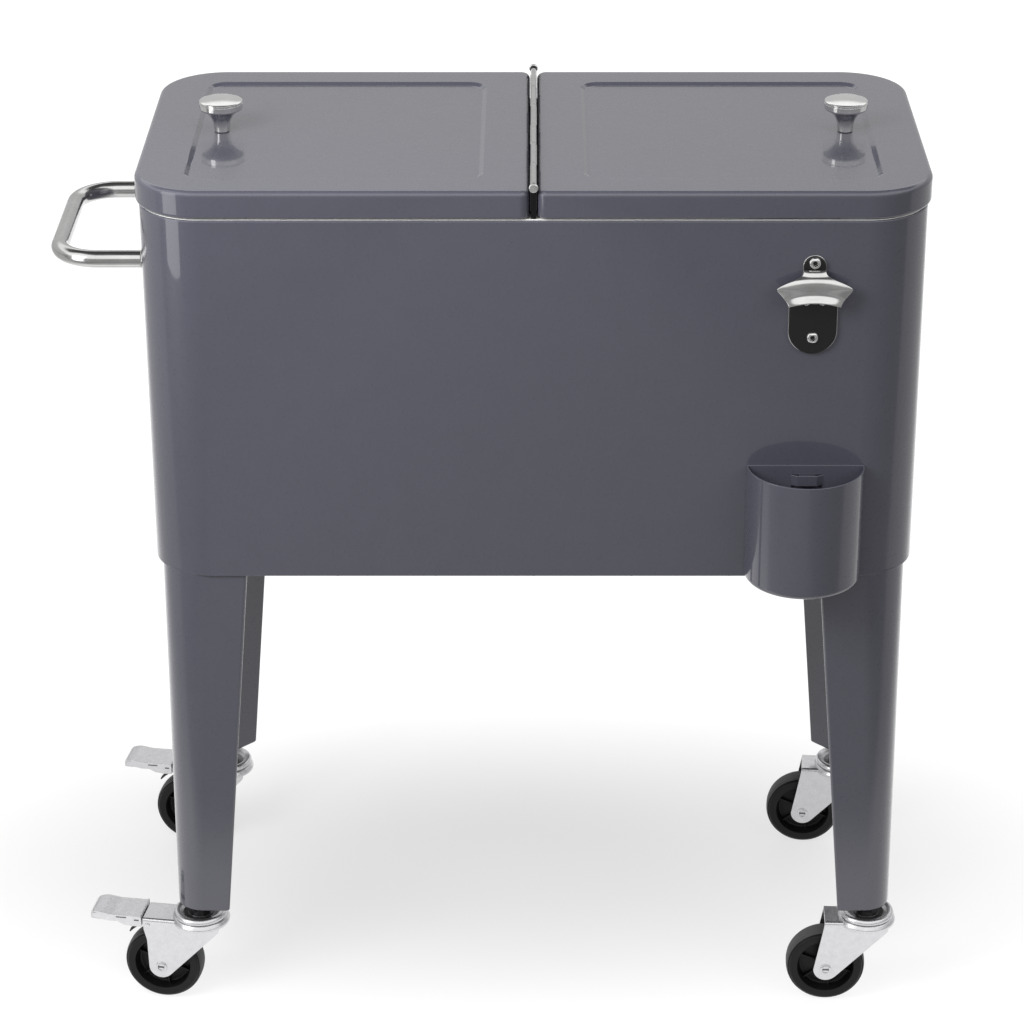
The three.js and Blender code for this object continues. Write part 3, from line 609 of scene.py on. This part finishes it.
# ---------------------------------------------------------------- handle
def build_handle():
    low, high = span("handle_tube")
    radius = (high.z - low.z) / 2
    far = low.x + radius
    end = high.x
    half = high.y - radius
    bend = 38
    path = [(end, -half)] + arc(far + bend, -half + bend, bend, 270, 180, 20)
    path += arc(far + bend, half - bend, bend, 180, 90, 20) + [(end, half)]
    height = (low.z + high.z) / 2
    shape = tube([(x, y, height) for x, y in path], radius)
    settle(new_piece("handle_bar", shape), "cart", "steel", "handle_tube")

    for place in ("front", "rear"):
        node = f"handle_flange_{place}"
        low, high = span(node)
        disc, thick = (high.y - low.y) / 2, high.x - low.x
        profile = fillet([
            (0, -thick), (radius + 0.4, -thick), (radius + 1.2, -thick + 0.8, 0.6), (disc, -1.2, 0.6),
            (disc, 0, 0.2), (0, 0),
        ], closed=False)
        shape = moved(revolve(profile, 40), ALONG_X)
        collar = new_piece(f"handle_collar_{place}", shape, at(high.x, (low.y + high.y) / 2, height))
        settle(collar, "cart", "steel", node)
        keep_cad(f"handle_bolt_{place}", "zinc")


# ---------------------------------------------------------------- bottle opener
def screw_head(radius, height):
    """Domed head with a deep socket, its seat at the origin and its top towards -Y."""
    dome = fillet([
        (radius, 0), (radius, height * 0.3, 0.6), (radius * 0.86, height * 0.8, 1.6),
        (radius * 0.6, height, 0.8), (radius * 0.5, height, 0.3), (radius * 0.46, 0.4),
    ], closed=False)
    return moved(revolve([(0, 0)] + dome + [(0, 0.4)], 40), UPRIGHT)


def build_opener():
    low, high = span("opener_plate")
    x = (low.x + high.x) / 2
    half = (high.x - low.x) / 2
    lobe = 10
    shoulder = 762
    plate = arc(0, high.z - lobe, lobe, 0, 180, 24) + [(-lobe, shoulder), (-half, shoulder - 12)]
    plate += arc(0, low.z + half, half, 180, 360, 40) + [(half, shoulder - 12), (lobe, shoulder)]
    back, front = high.y, low.y
    piece = new_piece("opener_back", slab(plate, -back + 0.8, -front), at(x, 0, 0) @ UPRIGHT)
    settle(round_edges(piece, 0.9, 3), "cart", "opener_black", "opener_plate")
    # a thin steel outline peeking round the black plate: painted highlight standing in for the plate's
    # glossy bevel
    middle_z = (low.z + high.z) / 2
    grown = [(px * (1 + 0.6 / half), middle_z + (pz - middle_z) * 1.014) for px, pz in plate]
    rim = new_piece("opener_edge_highlight", slab(grown, -back, -back + 1.1), at(x, 0, 0) @ UPRIGHT)
    settle(round_edges(rim, 0.4), "cart", "steel")
    build_hood(x)
    for node in ("opener_screw_top", "opener_screw_bottom"):
        low, high = span(node)
        radius = (high.x - low.x) / 2 + 0.3
        middle = centre(node)
        seat = at(middle.x, front, middle.z)
        settle(new_piece(f"{node}_head", screw_head(radius, 2.8), seat), "cart", "chrome", node)
        # black hex in the head's socket: painted shade in the hole
        socket = new_piece(f"{node}_socket", slab(ring_of(6, radius * 0.4), 0.3, 1.2), seat @ UPRIGHT)
        settle(socket, "cart", "opener_black")


def build_hood(x):
    """Pressed steel hood over the opener's mouth, with a short neck, two wide tips and a flared lip."""
    low, high = span("opener_hood")
    back = high.y
    half = (high.x - low.x) / 2 + 1.5
    neck_z, lip_z = high.z, low.z
    # (share of the way down, how far it stands off the plate, half width)
    rows = [
        (0.0, 0.6, 9.8), (0.02, 2.6, 9.8), (0.06, 4.0, 10.0), (0.11, 5.1, 10.8), (0.16, 6.2, 12.6),
        (0.2, 7.8, 15.5), (0.26, 9.1, 20.0), (0.33, 9.7, 26.0), (0.42, 10.1, 31.4), (0.5, 10.4, half),
        (0.6, 10.8, half - 2.6), (0.68, 11.1, half - 4.8), (0.75, 11.4, half - 6.6), (0.8, 12.0, half - 7.9),
        (0.86, 13.1, half - 9.2), (0.92, 14.3, half - 10.4), (0.98, 15.4, half - 11.2),
        (1.0, 15.2, half - 11.4),
    ]
    columns = 28
    points, faces = [], []
    for down, stand, width in rows:
        for column in range(columns + 1):
            u = 2 * column / columns - 1
            arch = 5.0 * (1 - u * u) * max(0.0, (down - 0.35) / 0.65)
            crown = 1.0 - 0.22 * abs(u) ** 3
            z = neck_z + (lip_z - neck_z) * down + arch
            points.append((u * width, back - stand * crown, z))
    for row in range(len(rows) - 1):
        for column in range(columns):
            first = row * (columns + 1) + column
            faces.append((first, first + 1, first + columns + 2, first + columns + 1))
    piece = new_piece("opener_cap", (points, faces), at(x, 0, 0))
    thick = piece.modifiers.new("sheet", "SOLIDIFY")
    thick.thickness = 1.5 * MM
    thick.offset = 0
    smooth = piece.modifiers.new("smooth", "SUBSURF")
    smooth.levels = smooth.render_levels = 2
    settle(piece, "cart", "steel", "opener_hood")
    tooth = fillet([(-9, -2, 2), (-9, 6), (9, 6), (9, -2, 2), (4, 0.5, 2), (-4, 0.5, 2)])
    hook = new_piece("opener_tooth", slab(tooth, 6.5, 8.5), at(x, back, lip_z + 1) @ UPRIGHT)
    settle(round_edges(hook, 0.6), "cart", "steel")


# ---------------------------------------------------------------- cap catcher
def build_catcher():
    low, high = span("cap_catcher")
    radius = (high.x - low.x) / 2
    x = (low.x + high.x) / 2
    wall = 1.4
    height = high.z - low.z

    def outline(inset):
        """Half disc whose flat side lies on the shell."""
        return [(px, min(py, -max(inset, 0))) for px, py in arc(0, 0, radius - inset, 180, 360, 48)]

    profile = fillet([
        (20, 0), (0, 0, 6), (0, height, 0.6), (wall, height, 0.5), (wall, wall, 5), (20, wall),
    ], closed=False, steps=6)
    bucket = new_piece("catcher_bucket", wrap(outline, profile), at(x, high.y, low.z))
    hook_low, hook_high = span("catcher_hook")
    window_x = (hook_low.x + hook_high.x) / 2
    window = (hook_low.z - 11, hook_high.z + 0.3)
    combine(bucket, box(-14, -2.5, window[0], 14, 2, window[1]), place=at(window_x, high.y, 0))
    strap = fillet([(-15, 0), (-14, 0, 2), (-9, -3, 2), (9, -3, 2), (14, 0, 2), (15, 0)], closed=False)
    outer = [(px, py - 1.4) for px, py in strap]
    bridge = slab(strap + outer[::-1], hook_low.z - 3, hook_low.z + 7)
    strap_piece = new_piece("catcher_strap", bridge, at(window_x, high.y - 0.2, 0))
    settle(round_edges(strap_piece, 0.3), "cap_catcher", "body_paint")
    settle(bucket, "cap_catcher", "body_paint", "cap_catcher")
    keep_cad("catcher_hook", "body_paint", 0.3)


# ---------------------------------------------------------------- legs
LEG = {"top_width": 86, "bottom_width": 54, "corner": 33, "nose": 2.1}


def leg_plan(width, inset):
    """Section of a leg, its outer corner at the origin: two outer sides and a diagonal inner one."""
    scale = width / LEG["bottom_width"]
    far = width - 2.4 * inset
    corner = LEG["corner"] * scale - inset
    nose = LEG["nose"] * scale
    return fillet([(inset, inset, corner), (far, inset, nose), (inset, far, nose)], steps=14)


def build_leg(name, side, depth):
    low, high = span(f"leg_{name}")
    foot = 5  # radius around the bottom
    rounding = fillet([(foot, 0), (0, 0, foot), (0, foot * 2)], closed=False, steps=7)
    shape = []
    for inset, z in [(foot * 2, 0)] + rounding + [(0, high.z - low.z)]:
        width = LEG["bottom_width"] + (LEG["top_width"] - LEG["bottom_width"]) * z / (high.z - low.z)
        shape.append([(-side * px, -depth * py, z) for px, py in leg_plan(width, inset)])
    corner_x = high.x if side > 0 else low.x
    corner_y = high.y if depth > 0 else low.y
    piece = new_piece(f"leg_shell_{name}", loft(shape), at(corner_x, corner_y, low.z))
    settle(piece, "cart", "body_paint", f"leg_{name}")


# ---------------------------------------------------------------- casters
TRAIL = 38  # the axle's distance behind the stem
AXLE = 38  # its height
FORK_HALF = 16.5
FORK_TOP = 91.5
# (name, side, depth, degrees turned from straight back, brake)
CASTERS = [
    ("front_left", -1, -1, 9, True),
    ("rear_left", -1, 1, 9, True),
    ("front_right", 1, -1, 2, False),
    ("rear_right", 1, 1, 5, False),
]


def build_cup(name, place):
    """Upper race: a thick rolled ring around a dished middle with the nut of the stem."""
    high = span(f"caster_stem_{name}")[1]
    ring = fillet([
        (0, 93.8), (25.5, 93.8, 0.5), (26.7, 96, 2.6), (24.6, 99.8, 2.6), (19.5, 98.6, 1.5), (17, 95.2, 1),
        (0, 94.6),
    ], closed=False, steps=6)
    rivet = revolve(fillet([(0, 85), (8, 85, 1), (8, 88.6), (0, 88.6)], closed=False), 24)
    shape = merged(revolve(ring, 72), rivet)
    settle(new_piece(f"race_cup_{name}", shape, place), "cart", "zinc", f"caster_stem_{name}")
    # the dish, washer, nut and stem are a darker zinc: painted shade inside the cup
    dish = revolve(fillet([(0, 94.7), (17.6, 95.4), (16.6, 95.7, 0.5), (0, 95.3)], closed=False), 48)
    nut = slab(fillet([(px, py, 0.8) for px, py in ring_of(6, 9.5)]), 95, 106.6)
    stem = revolve(fillet([(0, 96), (5.5, 96), (5.5, high.z, 1), (0, high.z)], closed=False), 24)
    washer = revolve(fillet([(0, 95), (12.5, 95), (12.5, 96.8, 0.5), (0, 96.8)], closed=False), 32)
    shape = merged(dish, washer, nut, stem)
    settle(new_piece(f"stem_nut_{name}", shape, place), "cart", "zinc", look="painted_shade_metal")


def cheek(brake):
    """Side view of a fork cheek in (x, z), trailing towards -X."""
    tip = 12
    ahead = [(21, FORK_TOP + 3), (21, FORK_TOP - 9, 6)]
    around = [(-TRAIL + tip * 0.75, AXLE - tip * 0.68)] + arc(-TRAIL, AXLE, tip, -50, -178, 14)
    if brake:
        behind = [(-TRAIL - tip - 1, 68, 14), (-TRAIL - tip - 4, 80, 3), (-54, 81), (-54.5, FORK_TOP + 3)]
    else:
        behind = [(-TRAIL - tip + 9, 86, 2), (-40, FORK_TOP + 3)]
    return fillet(ahead + around + behind, steps=6)


def build_fork(name, brake, place):
    """Bent steel fork: a channel trimmed to its side view, under a round lower race."""
    thick = 2.3
    outer = fillet([
        (-FORK_HALF, 20), (-FORK_HALF, FORK_TOP, 3), (FORK_HALF, FORK_TOP, 3), (FORK_HALF, 20),
    ], closed=False)
    inner = fillet([
        (-FORK_HALF + thick, 20), (-FORK_HALF + thick, FORK_TOP - thick, 1.2),
        (FORK_HALF - thick, FORK_TOP - thick, 1.2), (FORK_HALF - thick, 20),
    ], closed=False)
    channel = loft([[(x, y, z) for y, z in outer + inner[::-1]] for x in (-60, 30)])
    fork = new_piece(f"fork_{name}", channel, place)
    side_view = moved(slab(cheek(brake), -30, 30), UPRIGHT)
    combine(fork, side_view, "INTERSECT", place)
    race = revolve(fillet([
        (0, FORK_TOP - 3), (25.5, FORK_TOP - 3), (27.6, FORK_TOP - 5.5, 1), (28.3, FORK_TOP - 2, 2),
        (26, FORK_TOP + 1.9, 2), (0, FORK_TOP + 1.9),
    ], closed=False), 72)
    combine(fork, race, "UNION", place)
    combine(fork, moved(bar(3.3, -30, 30), at(-TRAIL, 0, AXLE) @ ALONG_Y), place=place)
    settle(round_edges(fork, 0.35), f"caster_{name}", "zinc", f"caster_fork_{name}")

    bolt = []
    for way in (-1, 1):
        head = fillet([
            (0, 0), (5.6, 0), (5.6, 0.9, 0.6), (4.2, 1.5, 0.5), (3.4, 1.3, 0.3), (3.0, 0.4, 0.3), (0, 0.3),
        ], closed=False)
        outwards = ALONG_Y if way > 0 else UPRIGHT
        bolt.append(moved(revolve(head, 28), at(-TRAIL, way * FORK_HALF, AXLE) @ outwards))
    bolt.append(moved(bar(3, -FORK_HALF, FORK_HALF), at(-TRAIL, 0, AXLE) @ ALONG_Y))
    settle(new_piece(f"axle_bolt_{name}", merged(*bolt), place), f"caster_{name}", "zinc", f"axle_{name}")
    # darker zinc boxes across the bolt heads: painted shade in their slots
    slot = [box(-3.0, way * FORK_HALF - 0.7, -0.8, 3.0, way * FORK_HALF + 0.7, 0.8) for way in (-1, 1)]
    piece = new_piece(f"axle_slot_{name}", merged(*slot), place @ at(-TRAIL, 0, AXLE))
    settle(piece, f"caster_{name}", "zinc", look="painted_shade_metal")


def build_wheel(name, place):
    """Moulded wheel: a crowned tread, a flat face ring, and thin ribs in the recess around the hub."""
    half = fillet([
        (3.3, 13), (7.5, 13, 0.6), (9, 2, 1.5), (25.4, 0.8, 2), (27.6, 11.4, 0.8), (34.6, 12, 2.5),
        (38, 6.5, 5), (38.2, 0),
    ], closed=False)
    profile = half + [(r, -h) for r, h in reversed(half[:-1])]
    shapes = [revolve(profile, 96)]
    for index in range(6):
        turn = Matrix.Rotation((index + 0.35) * math.pi / 3, 4, "Z")
        shapes.append(moved(box(7, -0.7, -4.6, 27.2, 0.7, 4.6), turn))
    axle = place @ at(-TRAIL, 0, AXLE) @ ALONG_Y
    settle(new_piece(f"tyre_{name}", merged(*shapes), axle), f"wheel_{name}", "wheel_black", f"wheel_{name}")
    crown = [(36.9, 9.3), (37.8, 7.4), (38.25, 4.6), (38.4, 0)]
    band = crown + [(r, -h) for r, h in reversed(crown[:-1])] + [(36.2, -8.8), (36.2, 8.8)]
    # the tread band is the wheel's own black plastic drawn lighter: painted sheen
    piece = new_piece(f"tread_{name}", revolve(band, 96), axle)
    settle(piece, f"wheel_{name}", "wheel_black", look="tread")


def narrowed(shape):
    """Rounds the end of a pedal's parts in plan."""
    start, reach, share = -97, 11.6, 0.5
    points, faces = shape
    result = []
    for x, y, z in points:
        t = min(max((start - x) / reach, 0), 1)
        result.append((x, y * (1 - share * (1 - math.sqrt(1 - t * t))), z))
    return result, faces


def build_pedal(name, place):
    """Brake pedal: a channel with a rounded, turned-down end, and the strip that rubs the tread."""
    half = FORK_HALF
    start = -56
    top = fillet([
        (start, 93.4), (-84, 93.4, 30), (-96, 95.4, 20), (-107.4, 94.2, 6), (-108.6, 85.0, 1),
        (-106.8, 84.8, 0.8), (-105.6, 92.4, 4), (-96, 93.4, 18), (-84, 91.4, 28), (start, 91.4),
    ], steps=9)
    skirt = fillet([
        (start, 93), (-84, 93, 30), (-96, 95, 20), (-107, 93.8, 6), (-108, 85.4, 2), (-97, 87.4, 5),
        (-88, 86, 4), (-80, 86.2, 2), (-74, 83, 2), (-66, 82, 3), (start, 82, 1),
    ], steps=9)
    shapes = [moved(slab(top, -half, half), UPRIGHT)]
    for y in (-half, half - 2):
        shapes.append(moved(slab(skirt, -y - 2, -y), UPRIGHT))
    ridge = fillet([(start - 1.4, 93), (start - 1.4, 94.3, 0.6), (start, 94.3, 0.4), (start, 93)])
    shapes.append(moved(slab(ridge, -half, half), UPRIGHT))
    back = start + 0.5
    tongue = [(start - 2, 82), (start - 2, 93), (back, 93), (back, 88), (-47, 88), (-47, 81)]
    shapes.append(moved(slab(tongue, -half + 3, half - 3), UPRIGHT))
    shapes.append(box(-59.3, -3, 76.6, -57.5, 3, 84))
    shapes = [narrowed(shape) for shape in shapes]
    pedal = new_piece(f"pedal_{name}", merged(*shapes), place)
    settle(round_edges(pedal, 1.3, 4), f"brake_{name}", "zinc", f"brake_pedal_{name}")
    # the slots in the pedal's sides are darker zinc boxes: painted shade in the openings
    slots = []
    for way in (-1, 1):
        slots.append(box(-81, way * (half - 0.6) - 0.9, 90.6, -71, way * (half - 0.6) + 0.9, 91.6))
        slots.append(box(-63, way * (half - 0.6) - 0.9, 88.4, -58.5, way * (half - 0.6) + 0.9, 89.6))
    piece = new_piece(f"pedal_slots_{name}", merged(*slots), place)
    settle(piece, f"brake_{name}", "zinc", look="painted_shade_metal")

    strip = arc(-TRAIL, AXLE, 45.6, 117, 139, 12) + arc(-TRAIL, AXLE, 44.2, 139, 117, 12)
    shoe = new_piece(f"brake_strip_{name}", moved(slab(strip, -3.5, 3.5), UPRIGHT), place)
    settle(round_edges(shoe, 0.3), f"brake_{name}", "rubber", f"brake_shoe_{name}")

    stud = revolve(fillet([(0, 0), (2.6, 0), (2.6, 0.6, 0.5), (0, 1.2)], closed=False), 20)
    pin = [moved(stud, at(-50, way * half, 84.5) @ turn) for way, turn in ((-1, UPRIGHT), (1, ALONG_Y))]
    piece = new_piece(f"pedal_pin_{name}", merged(*pin), place)
    settle(piece, f"caster_{name}", "zinc", f"brake_pivot_{name}")


def build_caster(name, side, depth, yaw, brake):
    stem = centre(f"caster_stem_{name}")
    place = at(stem.x, stem.y, 0) @ Matrix.Rotation(math.radians(-yaw), 4, "Z")
    build_cup(name, place)
    build_fork(name, brake, place)
    build_wheel(name, place)
    if brake:
        build_pedal(name, place)
    build_leg(name, side, depth)


# ---------------------------------------------------------------- all of it
build_shell()
build_tub()
keep_cad("bottom_panel", "body_paint")
keep_cad("insulation_foam", "foam")
keep_cad("drain_spout", "liner_white", 0.4)
keep_cad("drain_cap", "liner_white", 0.6)
# the support bar is black so the gap between the lids reads dark: painted shade
keep_cad("lid_support_bar", "black_bar", 0.3)
build_lid(-1, "left_lid")
build_lid(1, "right_lid")
build_pin()
build_handle()
build_opener()
build_catcher()
for caster in CASTERS:
    build_caster(*caster)


# ---------------------------------------------------------------- stage, lights and camera
def ramp(tree, value, low, high, at_low, at_high):
    """Smooth change of a value: at_low below low and at_high above high."""
    node = tree.nodes.new("ShaderNodeMapRange")
    node.interpolation_type = "SMOOTHSTEP"
    node.inputs["From Min"].default_value = low
    node.inputs["From Max"].default_value = high
    node.inputs["To Min"].default_value = at_low
    node.inputs["To Max"].default_value = at_high
    tree.links.new(value, node.inputs["Value"])
    return node.outputs["Result"]


def blend(tree, amount, first, second):
    """Mixes two values: first where the amount is 0 and second where it is 1."""
    node = tree.nodes.new("ShaderNodeMix")
    for socket, value in (("Factor", amount), ("A", first), ("B", second)):
        target = next(s for s in node.inputs if s.name == socket and s.type == "VALUE")
        if isinstance(value, float):
            target.default_value = value
        else:
            tree.links.new(value, target)
    return next(s for s in node.outputs if s.type == "VALUE")


def calculate(tree, operation, *values):
    """Result of a Math node, whose inputs are numbers or outputs of other nodes."""
    node = tree.nodes.new("ShaderNodeMath")
    node.operation = operation
    for socket, value in zip(node.inputs, values):
        if isinstance(value, float):
            socket.default_value = value
        else:
            tree.links.new(value, socket)
    return node.outputs["Value"]


def axes_of(tree, output):
    """X, Y and Z outputs of a texture coordinate."""
    coordinates = tree.nodes.new("ShaderNodeTexCoord")
    split = tree.nodes.new("ShaderNodeSeparateXYZ")
    tree.links.new(coordinates.outputs[output], split.inputs["Vector"])
    return split.outputs


def build_floor():
    """Pale floor with a painted glow: a soft painted shadow under the body, darker towards the front and
    fading to both sides.
    """
    mesh = bpy.data.meshes.new("floor")
    reach = 12.0
    corners = [(-reach, -reach, 0), (reach, -reach, 0), (reach, reach, 0), (-reach, reach, 0)]
    mesh.from_pydata(corners, [], [(0, 1, 2, 3)])
    floor = bpy.data.objects.new("floor", mesh)
    bpy.context.scene.collection.objects.link(floor)
    material = bpy.data.materials.new("pale_floor")
    material.use_nodes = True
    tree = material.node_tree
    shader = tree.nodes["Principled BSDF"]
    shader.inputs["Base Color"].default_value = (0.14, 0.14, 0.14, 1)
    shader.inputs["Roughness"].default_value = 0.6
    shader.inputs["Emission Color"].default_value = (1, 1, 1, 1)
    around = tree.nodes.new("ShaderNodeVectorMath")
    around.operation = "LENGTH"
    spread = tree.nodes.new("ShaderNodeMapping")
    spread.inputs["Location"].default_value = (0, -0.12, 0)
    spread.inputs["Scale"].default_value = (0.48, 1.0, 1.0)
    tree.links.new(tree.nodes.new("ShaderNodeTexCoord").outputs["Object"], spread.inputs["Vector"])
    tree.links.new(spread.outputs["Vector"], around.inputs[0])
    # painted soft shadow: the glow drops under the body
    painted_shadow = ramp(tree, around.outputs["Value"], 0.05, 0.5, 0.6, 1.0)
    place = axes_of(tree, "Object")
    # painted darkening of the floor in front of the body
    front = ramp(tree, place["Y"], -0.56, -0.36, 0.26, 1.0)
    # the glow widens towards the back and fades to both sides
    beside = calculate(tree, "ABSOLUTE", place["X"])
    slope = calculate(tree, "DIVIDE", beside, calculate(tree, "ADD", place["Y"], 2.92))
    sides = ramp(tree, slope, 0.18, 0.4, 1.0, 0.4)
    glow = calculate(tree, "MULTIPLY", calculate(tree, "MULTIPLY", painted_shadow, front), sides)
    tree.links.new(glow, shader.inputs["Emission Strength"])
    mesh.materials.append(material)
    material.cycles.emission_sampling = "NONE"
    floor.visible_diffuse = False  # its glow is for the camera and for gloss, not a lamp


def softbox(name, place, target, size, power, mirrored=True):
    """Rectangular lamp at a place in metres from the middle of the body, turned towards a target.

    One that isn't mirrored lights the surfaces but doesn't show in their gloss.
    """
    data = bpy.data.lights.new(name, "AREA")
    data.shape = "RECTANGLE"
    data.size, data.size_y = size
    data.energy = power
    lamp = bpy.data.objects.new(name, data)
    lamp.visible_glossy = mirrored
    lamp.location = MIDDLE + Vector(place)
    way = MIDDLE + Vector(target) - lamp.location
    lamp.rotation_euler = way.to_track_quat("-Z", "Y").to_euler()
    bpy.context.scene.collection.objects.link(lamp)


def build_sky():
    """Pale surroundings: bright behind up to mid height and in front higher up, dark overhead."""
    world = bpy.data.worlds.new("studio")
    world.use_nodes = True
    bpy.context.scene.world = world
    tree = world.node_tree
    background = tree.nodes["Background"]
    background.inputs["Color"].default_value = (1, 1, 1, 1)
    way = axes_of(tree, "Generated")
    wall = ramp(tree, way["Z"], 0.38, 0.5, 0.62, 1.25)
    backdrop = calculate(tree, "MULTIPLY", wall, ramp(tree, way["Z"], 0.62, 0.72, 1.0, 0.06))
    rising = ramp(tree, way["Z"], 0.26, 0.4, 0.4, 1.4)
    overhead = ramp(tree, way["Z"], 0.86, 0.95, 1.0, 0.08)
    front = calculate(tree, "MULTIPLY", rising, overhead)
    behind = ramp(tree, way["Y"], -0.15, 0.15, 0.0, 1.0)
    above = blend(tree, behind, front, backdrop)
    below = ramp(tree, way["Z"], -0.05, 0.0, 0.0, 1.0)
    tree.links.new(blend(tree, below, 0.15, above), background.inputs["Strength"])


def build_camera():
    height, distance, pitch = 1.823, 2.923, 25.09
    data = bpy.data.cameras.new("camera")
    data.sensor_width = 36
    data.lens = 117.07
    data.shift_x = -0.021
    camera = bpy.data.objects.new("camera", data)
    camera.location = MIDDLE + Vector((0, -distance, height))
    camera.rotation_euler = (math.radians(90 - pitch), 0, 0)
    bpy.context.scene.collection.objects.link(camera)
    bpy.context.scene.camera = camera


build_floor()
build_sky()
softbox("key", (-0.75, -0.85, 1.45), (0, 0, 0.75), (0.6, 0.6), 19, mirrored=False)
softbox("left_strip", (-1.25, -0.8, 0.9), (-0.3, 0, 0.75), (0.55, 1.2), 5)
softbox("overhead", (0.1, -0.2, 2.7), (0, 0, 0.8), (0.6, 0.6), 11, mirrored=False)
softbox("right_fill", (1.5, -1.3, 1.5), (0.3, 0, 0.75), (0.8, 0.8), 6, mirrored=False)
build_camera()
bpy.context.scene.view_settings.view_transform = "Standard"
